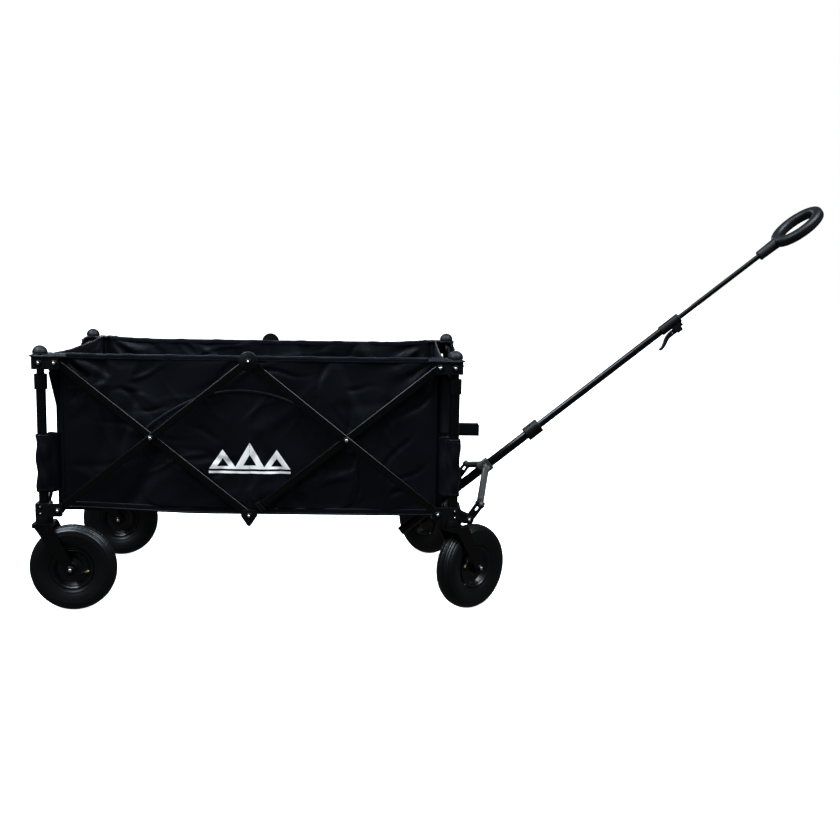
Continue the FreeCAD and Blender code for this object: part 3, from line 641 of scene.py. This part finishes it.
class WAGON_OT_pocket(bpy.types.Operator):
    """The outer pocket: a second layer with an arched, bound mouth and a printed mark"""
    bl_idname = "wagon.pocket"
    bl_label = "Outer pocket"

    def execute(self, context):
        s = context.scene.wagon_tub
        half, body, rounding = POCKET_HALF, WALLS["near"][0], 0.05
        a = np.linspace(-half, half, 130)
        A, T = plane(a, np.linspace(0, 1, 70))
        bend = np.sqrt(1 - np.clip((abs(A) - half + rounding) / rounding, 0, 1) ** 2)
        foot = foot_of("near", A) + 0.012 + rounding * (1 - bend)
        Z = foot + (pocket_top(A) - foot) * T
        P = wall_point("near", A, Z, pocket_out(A, Z, s.slack) + np.clip((T - 0.8) / 0.2, 0, 1) * 0.0005)
        ob = cloth("pocket", shell(P, 0.0011), pocket_cloth, body)
        half * 2
        gather(ob)
        top = pocket_top(a)
        path = wall_point("near", a, top, pocket_out(a, top, s.slack) + 0.0003)
        cloth("pocket_binding", sweep(path, 0.0016, 0.0042, UP, 12, power=3), webbing, body, "near")
        zc = np.linspace(Z0 + 0.014, 0.262, 60)
        lines = ((a, top - 0.0075), (np.zeros_like(zc), zc))
        rows = [seam(wall_point("near", x, z, pocket_out(x, z, s.slack) + 0.0008), s.stitch, 0.00045, (0, -1, 0))
                for x, z in lines]
        cloth("pocket_stitches", merged(rows), thread, body, "near")
        return {"FINISHED"}


class WAGON_OT_hems(bpy.types.Operator):
    """The rim's folded hem, the bottom piping and their stitching, wall by wall"""
    bl_idname = "wagon.hems"
    bl_label = "Hems and piping"

    def execute(self, context):
        s = context.scene.wagon_tub
        for wall, (body, *_) in WALLS.items():
            a = np.linspace(-wall_half(wall), wall_half(wall), 160)
            top, foot = top_of(wall, a), foot_of(wall, a)
            n = wall_point(wall, 0.0, 0.0, 1.0) - wall_point(wall, 0.0, 0.0, 0.0)
            wob = 0.0007 * np.sin(a * 61) + 0.0005 * np.sin(a * 137 + 1)
            rim = sweep(wall_point(wall, a, top - s.hem / 2 + wob, -0.0004), 0.0022, s.hem / 2, UP, 16, power=3.2)
            low = sweep(wall_point(wall, a, foot + 0.001, 0.0002), s.piping, s.piping, UP, 12)
            band = sweep(wall_point(wall, a, foot + 0.0085, -0.0002), 0.0014, 0.006, UP, 12, power=3)
            rows = [seam(wall_point(wall, a, z, out), s.stitch, 0.00045, n) for z, out in
                    ((top - 0.0035, 0.0019), (top - s.hem + 0.003, 0.0019), (foot + 0.0125, 0.0013))]
            cloth("hem_" + wall, merged([rim, band]), webbing, body, wall)
            cloth("piping_" + wall, low, webbing, body, wall)
            cloth("stitches_" + wall, merged(rows), thread, body, wall)
        return {"FINISHED"}


# ---- the corners
def gusset(k, fx, fy, head, s):
    """The narrow cloth across a corner, bowed out a little, with piping down both edges."""
    z = np.linspace(Z0, Z1, 60)
    T, Z = plane(np.linspace(0, 1, 9), z)
    bow = 0.0012 * np.sin(np.pi * T) * (1 + 0.8 * np.sin(Z * 47 + fx * 2 + fy)) * 0.7
    P = points(fx * (HX - CORNER * T + bow), fy * (HY - CORNER * (1 - T) + bow), Z)
    cloth("gusset_" + k, shell(facing(P, fx * fy > 0), s.cloth), tub_cloth, head)
    pipes = [sweep(points(fx * (HX + dx + 0.0004), fy * (HY + dy + 0.0004), z), s.piping, s.piping, (1, 0, 0), 10)
             for dx, dy in ((0.0, -CORNER), (-CORNER, 0.0))]
    cloth("corner_piping_" + k, merged(pipes), webbing, head)


def flap(k, fx, fy, head, s):
    """A patch of cloth under the cap, from a pointed outer corner back to the tub's rim, and its stitches."""
    px, py = fx * POST[0], fy * POST[1]
    U, W = plane(np.linspace(0, 1, 34), np.linspace(0, 1, 34))
    ends = np.array([[(POST[0] + 0.0215, POST[1] + 0.0215), (POST[0] + 0.0165, HY - 0.030)],
                     [(HX - 0.034, POST[1] + 0.0165), (END_X - 0.0005, END_Y - 0.0005)]])
    XY = ((1 - U) * (1 - W))[..., None] * ends[0, 0] + ((1 - U) * W)[..., None] * ends[0, 1]
    XY = XY + (U * (1 - W))[..., None] * ends[1, 0] + (U * W)[..., None] * ends[1, 1]
    near = np.minimum(U, W)
    rim = np.minimum(near, np.minimum(1 - U, 1 - W))
    drop = -0.0065 * (1 - np.clip(near / 0.09, 0, 1)) ** 1.5 * (1 - 0.5 * np.exp(-((U + W) / 0.2) ** 2))
    fold = 0.0005 * np.sin(23 * (U - W) + fx) * np.clip(rim / 0.1, 0, 1) + 0.0004 * np.sin(31 * (U + W) + fy)
    P = points(fx * XY[..., 0], fy * XY[..., 1], Z1 - 0.0012 + drop + fold)
    ob = cloth("flap_" + k, shell(facing(P, fx * fy < 0), 0.0012), tub_cloth, head)
    w = np.linspace(0, 1, 6)
    rows = [seam(points(px - fx * (0.021 + 0.004 * n + 0.002 * w), py + fy * (0.004 - 0.008 * w), Z1 - 0.0004),
                 0.0032, 0.0006, UP) for n in range(3)]
    edge = points(px + fx * 0.0165, np.linspace(py + fy * 0.014, fy * (HY - 0.024), 40), Z1 - 0.0006)
    side = points(np.linspace(px + fx * 0.014, fx * (HX - 0.028), 40), py + fy * 0.0165, Z1 - 0.0006)
    rows += [seam(e, s.stitch * 0.8, 0.00045, UP) for e in (edge, side)]
    cloth("flap_stitches_" + k, merged(rows), thread, head)


def sleeve_heights(k):
    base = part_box("lower_bracket_" + k)[1][2]
    return np.linspace(base + 0.026, base + 0.158, 60)


def sleeve_bulge(angle, fx, fy):
    """How far a sleeve stands off its post towards the tub: the cosine from the inward direction, cubed."""
    return 0.0085 * np.maximum(0, np.cos(angle - math.atan2(-fy, -fx))) ** 3


def sleeve(k, fx, fy, leg):
    """A loose cloth tube on the outer post and the web that joins it to the tub."""
    px, py = fx * POST[0], fy * POST[1]
    zs = sleeve_heights(k)
    TH, Z = plane(np.arange(48) * 2 * np.pi / 48, zs)
    R = 0.0145 + 0.0018 * np.sin(Z * 95 + TH) * np.sin(2 * TH + 1) + sleeve_bulge(TH, fx, fy)
    R = np.maximum(R, 0.0128)
    outer, inner = (points(px + r * np.cos(TH), py + r * np.sin(TH), Z) for r in (R, R - 0.0013))
    cloth("sleeve_" + k, grid(np.concatenate([outer, inner[:, ::-1]], 1), True, True), tub_cloth, leg)
    tx, ty = fx * (HX - CORNER / 2 + 0.0012) - px, fy * (HY - CORNER / 2 + 0.0012) - py
    reach = math.hypot(tx, ty)
    W, Z = plane(np.linspace(0.0125 / reach, 1, 24), zs)
    sway = 0.0016 * np.sin(W * 3.1) * np.sin(Z * 70 + fx) / reach
    flare = 0.004 * np.sin(np.pi * W) * (Z - zs[30]) / 0.06
    P = points(px + tx * W - ty * sway, py + ty * W + tx * sway, Z + flare)
    cloth("sleeve_web_" + k, shell(P, 0.0022), tub_cloth, leg)


def corner_web(k, fx, fy, head):
    """Closes the corner between the gusset and the post, above the sleeve; at the rear it tapers downwards."""
    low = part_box("upper_bracket_" + k)[0][2]
    z = np.linspace(sleeve_heights(k)[-1] + 0.010, Z1 - 0.004, 60)
    gx, gy = HX - CORNER / 2 - 0.0006, HY - CORNER / 2 - 0.0006
    stop = 1 - 0.0128 / math.hypot(POST[0] - gx, POST[1] - gy)
    up = np.clip((z - low + 0.010) / 0.008, 0, 1)
    ex = (gx + (POST[0] - gx) * stop) * (1 - up) + (POST[0] - 0.0182) * up
    ey = (gy + (POST[1] - gy) * stop) * (1 - up) + (POST[1] - 0.0182) * up
    if fx < 0:
        share = 0.16 + 0.84 * np.clip((z - z[0]) / (z[-1] - z[0]) * 1.15 - 0.02, 0, 1) ** 1.6
        ex, ey = gx + (ex - gx) * share, gy + (ey - gy) * share
    W, Z = plane(np.linspace(0, 1, 20), z)
    sag = 0.0022 * np.sin(np.pi * W) * np.sin(Z * 38 + fx + 2 * fy)
    P = points(fx * (gx + (ex - gx) * W + sag), fy * (gy + (ey - gy) * W - sag), Z)
    cloth("corner_web_" + k, shell(facing(P, fx * fy > 0), 0.0016), tub_cloth, head)


def corner_tuck(k, fx, fy, head):
    """A fold of cloth from wall end to wall end, round the inside of the bracket."""
    turns = ((END_X + 0.0008, POST[0] - 0.0195, HX - 0.0006), (HY - 0.0006, POST[1] - 0.0195, END_Y + 0.0008))
    x, y = (np.interp(np.linspace(0, 1, 25), (0, 0.5, 1), t)[:, None] for t in turns)
    z = np.linspace(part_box("upper_bracket_" + k)[0][2] - 0.004, Z1 - 0.002, 14)
    P = points(fx * x, fy * y, z)
    cloth("corner_tuck_" + k, shell(facing(P, fx * fy > 0), 0.0012), tub_cloth, head)


def sleeve_stitches(k, fx, fy, leg, s):
    q = np.linspace(0, 2 * np.pi, 80)
    zs, at = sleeve_heights(k), 0.0148 + sleeve_bulge(q, fx, fy) + 0.0012
    rows = [seam(points(fx * POST[0] + at * np.cos(q), fy * POST[1] + at * np.sin(q), z), s.stitch, 0.0005, UP)
            for z in (zs[0] + 0.006, zs[-1] - 0.006)]
    cloth("sleeve_stitches_" + k, merged(rows), thread, leg)


class WAGON_OT_corners(bpy.types.Operator):
    """Corner gussets with piping, the flaps under the caps, the sleeves round the posts, webs and tucks"""
    bl_idname = "wagon.corners"
    bl_label = "Corner cloth"

    def execute(self, context):
        s = context.scene.wagon_tub
        for k, (fx, fy, corner) in CORNERS.items():
            gusset(k, fx, fy, corner + "_head", s)
            flap(k, fx, fy, corner + "_head", s)
            sleeve(k, fx, fy, corner + "_leg")
            corner_web(k, fx, fy, corner + "_head")
            corner_tuck(k, fx, fy, corner + "_head")
            sleeve_stitches(k, fx, fy, corner + "_leg", s)
        return {"FINISHED"}


# ---- the floor
def gather_strip(ob):
    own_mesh(ob)


def board_strip(y0, y1, seed):
    """A closed pillow with pinched edges and cross seams: the crown follows a quarter circle at the edges."""
    U, W = plane(np.linspace(0, 1, 150), np.linspace(0, 1, 34))
    along, across = np.minimum(U, 1 - U) * (2 * HX), np.minimum(W, 1 - W) * (y1 - y0)
    crown = np.sqrt(1 - (1 - np.clip(np.minimum(along / 0.008, across / 0.008), 0, 1)) ** 2)
    x, y = -HX + 0.007 + U * (2 * HX - 0.014), y0 + 0.002 + W * (y1 - y0 - 0.004)
    quilt = 1 - 0.16 * np.exp(-((np.mod(x + HX, 0.226) - 0.113) / 0.004) ** 2)
    zm, th = (TUB_LO[2] + TUB_HI[2]) / 2, (TUB_HI[2] - TUB_LO[2]) / 2
    lift = crown * quilt * th + np.clip(creases(x, y, seed, 30, 0.05, 0.005, 0.0005), -0.0006, 0.0) * crown
    low, faces = grid(points(x, y, zm - crown * th * 0.9))
    return merged([grid(points(x, y, zm + lift)), (low, faces[:, ::-1])])


class WAGON_OT_floor(bpy.types.Operator):
    """The cloth floor and its padded board, both seamed into five lengthwise strips, with webbing underneath"""
    bl_idname = "wagon.floor"
    bl_label = "Floor and board"

    def execute(self, context):
        for n, (name, y0, y1, body, end) in enumerate(STRIPS):
            X, Y = plane(np.linspace(-FLOOR_X, FLOOR_X, 200), np.linspace(y0, y1, 24))
            sag = -0.0008 * (1 - (Y / FLOOR_Y) ** 2)
            sag = sag + np.clip(creases(X, Y, 31 + n, 40, 0.08, 0.006, 0.0008), -0.0009, 0.0009)
            P = points(X, Y, Z0 + 0.0022 + np.minimum(sag, 0.0003))
            ob = cloth("floor_" + name, shell(P, 0.0014), lining_cloth, body)
            gather_strip(ob)
            ob = piece("board_" + name, board_strip(y0, y1, 61 + n), lining_cloth, body)
            gather_strip(ob)
            if name == "middle":
                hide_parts("base_board")
        for n, x in enumerate((-0.22, 0.22)):
            for name, y0, y1, body, end in STRIPS:
                path = points(x, np.linspace(y0, y1, 30), Z0)
                ob = cloth("strap_%s_%d" % (name, n), sweep(path, 0.0125, 0.0008, UP, 16, power=4), webbing, body)
                gather_strip(ob)
        return {"FINISHED"}


# ---- the wheels
SECTION = ((-0.0150, 0.049), (-0.0168, 0.0508), (-0.0182, 0.0540), (-0.0202, 0.0590), (-0.0222, 0.0645),
           (-0.0237, 0.0700), (-0.0247, 0.0755), (-0.0250, 0.0800), (-0.0245, 0.0850), (-0.0230, 0.0897),
           (-0.0203, 0.0936), (-0.0165, 0.0963), (-0.0118, 0.0983), (-0.006, 0.0996), (0, 0.1))
GROOVES = (-0.0175, -0.0105, -0.0035, 0.0035, 0.0105, 0.0175)
# ridges on a tyre's side: radius, width and height of each
RIDGES = ((0.0800, 0.0011, 0.0005), (0.0560, 0.0010, 0.0007), (0.0872, 0.0009, 0.0008), (0.0902, 0.0009, 0.0008),
          (0.0930, 0.0009, 0.0008))
BEARING = ((0.0090, -0.004), (0.0090, 0.0006), (0.0115, 0.0014), (0.0135, 0.0006), (0.0145, -0.004))
RIM_RING = ((0.0405, -0.002), (0.0405, 0.0012), (0.0412, 0.0019), (0.0424, 0.0019), (0.0431, 0.0012),
            (0.0431, -0.002))
VALVE_BASE = ((0.0, 0.0), (0.0042, 0.0), (0.0038, 0.003), (0.0030, 0.0045), (0.0028, 0.0105), (0.0, 0.0105))
CASTOR_TURN = {-1: 44, 1: 131}      # degrees that the near and the far castor stand at


def wheel_axes(fx, fy):
    """The level directions of a wheel's rolling and of its axle."""
    turn = math.radians(0 if fx < 0 else CASTOR_TURN[fy])
    return np.array([math.cos(turn), math.sin(turn), 0]), np.array([-math.sin(turn), math.cos(turn), 0])


def tyre_section(s):
    """Half-width and radius round the tyre's section for s in 0..1, bead to bead over the tread."""
    pts = np.array(SECTION)
    pts = np.concatenate([pts, (pts[:-1] * [-1, 1])[::-1]])
    d = np.concatenate([[0], np.cumsum(np.hypot(*np.diff(pts, axis=0).T))])
    return np.interp(s * d[-1], d, pts[:, 0]), np.interp(s * d[-1], d, pts[:, 1])


def tyre(c, ex, ey, p):
    """The section carried round the axle; straight and slanted grooves sink the tread, ridges ring the sides."""
    n, m = 300, 110
    y, r = tyre_section(np.linspace(0, 1, m))
    angle = np.arange(n) * 2 * np.pi / n
    Y, R, A = y[None].repeat(n, 0), r[None].repeat(n, 0), angle[:, None].repeat(m, 1)
    tread = np.clip((R - 0.0915) / 0.002, 0, 1)
    zig = 0.0003 * (2 / np.pi) * np.arcsin(np.sin(A * p.blocks))
    groove = np.max([np.clip(1.5 - abs(Y - g - zig) / 0.0009, 0, 1) for g in GROOVES], 0)
    side = sum(high * np.exp(-((R - at) / wide) ** 2) for at, wide, high in RIDGES)
    side = side + 0.0004 * (np.sin(A * 120) > 0) * np.exp(-((R - 0.088) / 0.0022) ** 4)

    def hoop(r, a):
        return c + (r * np.cos(a))[..., None] * ex + (r * np.sin(a))[..., None] * UP

    P = hoop(R - p.rib * tread * groove, A) + (Y + np.sign(Y) * side)[..., None] * ey
    bead = hoop(0.0492, A[:, :1])
    return grid(np.concatenate([P, bead + ey * 0.012, bead - ey * 0.012], 1), True, True)


class WAGON_OT_wheels(bpy.types.Operator):
    """Ribbed air-filled tyres, bearing rings, rim rings and valve stems on the frame's rims"""
    bl_idname = "wagon.wheels"
    bl_label = "Wheels"

    def execute(self, context):
        p = context.scene.wagon_wheel
        stem = [(0.0, 0.0100), (0.0022, 0.0100), (0.0022, 0.0150), (0.0027, 0.0154), (0.0027, p.valve),
                (0.0021, p.valve + 0.0008), (0.0, p.valve + 0.0008)]
        for k, (fx, fy, corner) in CORNERS.items():
            c, wheel = mid("tyre_" + k), corner + "_wheel"
            ex, ey = wheel_axes(fx, fy)
            ob = piece("tyre_tread_" + k, tyre(c, ex, ey, p), tyre_rubber, wheel, 48)
            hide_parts("tyre_" + k)
            for side, face in ((-1, "a"), (1, "b")):
                axle = ey * side
                ends = "_%s_%s" % (k, face)
                piece("bearing" + ends, turned(BEARING, c + axle * 0.0262, axle, 40), blackened, wheel, 40)
                piece("rim_ring" + ends, turned(RIM_RING, c + axle * 0.0142, axle, 64), rim_plastic, wheel, 50)
            over = -fx      # the front wheels have their valve mirrored about the axle
            base = c + ex * 0.0205 * over - np.array([0, 0, 0.0135 * over]) + ey * fy * 0.0075
            way = ex * 0.0205 * over + np.array([0, 0, 0.0085 * over]) + ey * fy * 0.011
            way /= np.linalg.norm(way)
            piece("valve_base_" + k, turned(VALVE_BASE, base, way, 18), tyre_rubber, wheel, 50)
            piece("valve_" + k, turned(stem, base, way, 18), brass, wheel, 40)
        return {"FINISHED"}


# ---- fittings
# radius and height of each kind of head
PIVOT, SCREW, CROSS = (0.0074, 0.0046), (0.0040, 0.0028), (0.0078, 0.0040)
HUB_COVER = ((0.0, 0.0145), (0.0170, 0.0145), (0.0182, 0.0137), (0.0200, 0.0137), (0.0216, 0.0128), (0.0226, 0.0108),
             (0.0226, 0.0102), (0.0, 0.0102))


def washer_profile(r, h):
    """A domed washer that dips to a seat for the rivet's head."""
    return [(r, -0.0006), (r, h * 0.3), (r * 0.92, h * 0.5), (r * 0.78, h * 0.66), (r * 0.62, h * 0.7),
            (r * 0.52, h * 0.5), (0.0, h * 0.5)]


def rivet_profile(r, h):
    """A low dome: the radius falls as the cosine and the height climbs as the sine of one angle."""
    t = np.linspace(0, np.pi / 2, 7)
    return np.concatenate([[(r, h * 0.4)], np.stack([r * np.cos(t), h * (0.62 + 0.38 * np.sin(t))], -1)])


class WAGON_OT_bolts(bpy.types.Operator):
    """Washers and rivets over the frame's own heads, hub covers, and the latches that hold the lower bars in line"""
    bl_idname = "wagon.bolts"
    bl_label = "Bolts and rivets"

    def execute(self, context):
        joints = {j["name"]: j.get("pos_m") for j in frame["joints"]}
        made = {}

        def head(body, at, way, r, h):
            washers, rivets = made.setdefault(body, ([], []))
            washers.append(turned(washer_profile(r, h), np.array(at, float), way, 28))
            rivets.append(turned(rivet_profile(r * 0.46, h), np.array(at, float), way, 20))

        leg_z, head_z = joints["fold"][2], joints["near_rear_head"][2]
        head_x = abs(joints["near_rear_head"][0])
        cross_x, _, cross_z = joints["near_a_cross"]
        top_x, _, top_z = joints["near_c_top"]
        low_z = 2 * cross_z - top_z
        for side, sy in (("near", -1), ("far", 1)):
            y, way = sy * POST[1], (0, sy, 0)
            ends = ((-1, "rear_" + side), (1, "front_" + side))
            x, _, z = joints["fold" if side == "near" else "far_b_fold"]
            for fx, end in ends:
                head(end + "_leg", (fx * abs(x), y + sy * CHEEK, z), way, *PIVOT)
            for fx, end in ends:
                head(end + "_head", (fx * head_x, y + sy * CHEEK, head_z), way, *PIVOT)
                head(end + "_head", (fx * POST[0], y + sy * CHEEK, head_z), way, *PIVOT)
            for fx, end in ends:
                for dz in (-0.0065, 0.0085):
                    head(end + "_leg", (fx * (POST[0] + 0.004), y + sy * CHEEK, leg_z + dz), way, *SCREW)
            head(side + "_bar_b", (cross_x, y + sy * 0.010, cross_z), way, *CROSS)
            head(side + "_bar_c", (-cross_x, y + sy * 0.010, cross_z), way, *CROSS)
            head(side + "_bar_b", (top_x, y + sy * 0.0145, top_z), way, 0.0062, 0.0040)
            cover = turned(HUB_COVER, np.array([top_x, y, top_z]), np.array(way, float), 64)
            piece("hub_cover_" + side, cover, moulded_plastic, side + "_bar_b", 35)
            head(side + "_bar_a", (0, y + sy * 0.006, low_z), way, *PIVOT)
            for fx, end in ends:
                c, axle = mid("tyre_" + end[0] + side[0]), wheel_axes(fx, sy)[1]
                for q in (-1, 1):
                    head(end + "_leg" if fx < 0 else side + "_castor", c + axle * q * 0.0315, axle * q, 0.0092, 0.0056)
        _, yl, zl = joints["rear_outer_fold"]
        for fx, end in ((-1, "rear"), (1, "front")):
            head(end + "_bar_outer", (fx * (POST[0] + 0.010), 0, joints[end + "_inner_cross"][2]), (fx, 0, 0), *CROSS)
            for z, kind in ((zl, "_leg"), (head_z, "_head")):
                for sy, side in ((-1, "_near"), (1, "_far")):
                    head(end + side + kind, (fx * (POST[0] + CHEEK), sy * abs(yl), z), (fx, 0, 0), *PIVOT)
        x, y, z = joints["handle_pitch"]
        head("front_near_leg", (x, y - 0.012, z), (0, -1, 0), 0.0069, 0.0041)
        head("front_near_leg", (x, y + 0.012, z), (0, 1, 0), 0.0064, 0.0036)
        t = math.atan2(cross_z - low_z, abs(cross_x))
        along, across = np.array([math.cos(t), 0, math.sin(t)]), np.array([-math.sin(t), 0, math.cos(t)])
        n = np.linspace(-0.0125, 0.0125, 20)[:, None]
        for side, sy in (("near", -1), ("far", 1)):
            spot = np.array([0, sy * (POST[1] - 0.0012), low_z]) + along * 0.033
            band = sweep(spot + across * n + np.array([0, sy * 0.002, 0]), 0.0050, 0.0018, (0, sy, 0), 16, power=5)
            lips = [sweep(spot + across * n * 0.98 + along * d + np.array([0, sy * 0.0036, 0]), 0.0010, 0.0012,
                          (0, sy, 0), 10) for d in (-0.0042, 0.0042)]
            piece("bar_latch_" + side, merged([band] + lips), moulded_plastic, side + "_bar_d")
        for body, (washers, rivets) in made.items():
            piece("washers_" + body, merged(washers), blackened, body, 50)
            piece("rivets_" + body, merged(rivets), zinc, body, 50)
        return {"FINISHED"}


FINISHES = (("bar_", powder_coat), ("outer_post", powder_coat), ("fork_", powder_coat), ("inner_post", post_and_cap),
            ("yoke_link", link_paint), ("yoke_block", link_paint), ("rim_", rim_plastic),
            ("handle_lower_tube", powder_coat), ("handle_middle_tube", powder_coat),
            ("handle_upper_tube", powder_coat), ("handle_grip", grip_rubber), ("tyre_", tyre_rubber),
            ("tub", tub_cloth), ("base_board", lining_cloth))
BEVELS = (("bar_", 0.0028), ("upper_bracket", 0.0012), ("lower_bracket", 0.0012), ("fork_", 0.0008), ("hub_", 0.001),
          ("yoke_elbow", 0.001), ("storage_clip", 0.001))


class WAGON_OT_finishes(bpy.types.Operator):
    """Finishes and softened edges for the frame's own pieces"""
    bl_idname = "wagon.finishes"
    bl_label = "Frame finishes"

    def execute(self, context):
        for name, ob in frame["nodes"].items():
            maker = next((m for k, m in FINISHES if name.startswith(k)), moulded_plastic)
            for slot in ob.material_slots:
                slot.material = paint(maker)
            width = next((w for k, w in BEVELS if name.startswith(k)), 0)
            if width:
                weld = ob.modifiers.new("weld", "WELD")
                weld.merge_threshold = 0.00002
                bevel = ob.modifiers.new("edges", "BEVEL")
                bevel.width, bevel.segments = width, 3
                bevel.limit_method, bevel.angle_limit = "ANGLE", math.radians(50)
        return {"FINISHED"}


# ---- the stage
FLOOR_HALF = 14.0
LIGHT_AIM = Vector((0.1, 0, 0.1))
CAMERA_AT, CAMERA_LENS = Vector((0.3207, -3.1147, 0.868 + GROUND)), 54.1757142857
YAW, PITCH, ROLL = -0.0242, -0.1444, 0.0158


def added(name, data):
    ob = bpy.data.objects.new(name, data)
    bpy.context.scene.collection.objects.link(ob)
    return ob


def camera_axes():
    """The camera's right, up and backward directions from its yaw, pitch and roll."""
    fwd = Vector((-math.sin(YAW) * math.cos(PITCH), math.cos(YAW) * math.cos(PITCH), math.sin(PITCH)))
    right = Vector((math.cos(YAW), math.sin(YAW), 0))
    up = right.cross(fwd)
    return right * math.cos(ROLL) + up * math.sin(ROLL), -right * math.sin(ROLL) + up * math.cos(ROLL), -fwd


class WAGON_OT_stage(bpy.types.Operator):
    """Pale floor, soft lights and the camera"""
    bl_idname = "wagon.stage"
    bl_label = "Stage"

    def execute(self, context):
        scene, s = context.scene, context.scene.wagon_stage
        me = bpy.data.meshes.new("floor")
        w = FLOOR_HALF
        me.from_pydata([(x, y, GROUND - 0.0005) for x, y in ((-w, -w), (w, -w), (w, w), (-w, w))], [], [(0, 1, 2, 3)])
        me.materials.append(paint(pale_floor))
        floor = added("floor", me)
        floor.visible_glossy = floor.visible_diffuse = False
        scene.view_settings.view_transform, scene.view_settings.gamma = "Standard", 0.9
        # the sky is white to the camera and dim to everything else
        scene.world = bpy.data.worlds.new("studio")
        scene.world.use_nodes = True
        tree = scene.world.node_tree
        sky = tree.nodes["Background"]
        sky.inputs[0].default_value = (1, 1, 1, 1)
        path, glow = tree.nodes.new("ShaderNodeLightPath"), tree.nodes.new("ShaderNodeMapRange")
        glow.inputs[3].default_value, glow.inputs[4].default_value = s.sky, 1.0
        tree.links.new(path.outputs[0], glow.inputs[0])
        tree.links.new(glow.outputs[0], sky.inputs[1])
        sun = bpy.data.lights.new("sun", "SUN")
        sun.energy, sun.angle, sun.color = s.sun, math.radians(50), s.tint
        added("sun", sun).rotation_euler = Vector((-0.28, -0.30, 1.0)).to_track_quat("Z", "Y").to_euler()
        lights = (("key", (-1.9, -2.6, 2.2), 1.2, s.key), ("left", (-1.6, -0.9, 2.7), 1.5, s.boxes),
                  ("right", (1.7, -0.9, 2.7), 1.5, s.boxes), ("back", (-0.6, 3.4, 1.9), 1.5, s.back))
        for name, at, size, power in lights:
            light = bpy.data.lights.new(name, "AREA")
            light.energy, light.size, light.color = power, size, s.tint
            ob = added(name, light)
            ob.location = at
            ob.rotation_euler = (LIGHT_AIM - Vector(at)).to_track_quat("-Z", "Y").to_euler()
        camera = bpy.data.cameras.new("camera")
        camera.lens, camera.sensor_width = CAMERA_LENS, 36
        place = Matrix(camera_axes()).transposed().to_4x4()
        place.translation = CAMERA_AT
        scene.camera = added("camera", camera)
        scene.camera.matrix_world = place
        return {"FINISHED"}


# ---- add-on
SETTINGS = {"wagon_tub": WagonTub, "wagon_wheel": WagonWheel, "wagon_finish": WagonFinish, "wagon_stage": WagonStage}
OPERATORS = (WAGON_OT_finishes, WAGON_OT_tub, WAGON_OT_pocket, WAGON_OT_hems, WAGON_OT_corners, WAGON_OT_floor,
             WAGON_OT_wheels, WAGON_OT_bolts, WAGON_OT_stage)


class WAGON_PT_panel(bpy.types.Panel):
    """The wagon's settings and operators"""
    bl_idname = "WAGON_PT_panel"
    bl_label = "Folding Wagon"
    bl_space_type = "VIEW_3D"
    bl_region_type = "UI"
    bl_category = "Wagon"

    def draw(self, context):
        for name, group in SETTINGS.items():
            for prop in group.__annotations__:
                self.layout.prop(getattr(context.scene, name), prop)
        for op in OPERATORS:
            self.layout.operator(op.bl_idname)


def register():
    for c in (*SETTINGS.values(), *OPERATORS, WAGON_PT_panel):
        bpy.utils.register_class(c)
    for name, group in SETTINGS.items():
        setattr(bpy.types.Scene, name, PointerProperty(type=group))


def unregister():
    for name in SETTINGS:
        delattr(bpy.types.Scene, name)
    for c in reversed((*SETTINGS.values(), *OPERATORS, WAGON_PT_panel)):
        bpy.utils.unregister_class(c)


def main():
    register()
    for op in OPERATORS:
        group, name = op.bl_idname.split(".")
        getattr(getattr(bpy.ops, group), name)()


if __name__ == "__main__":
    main()
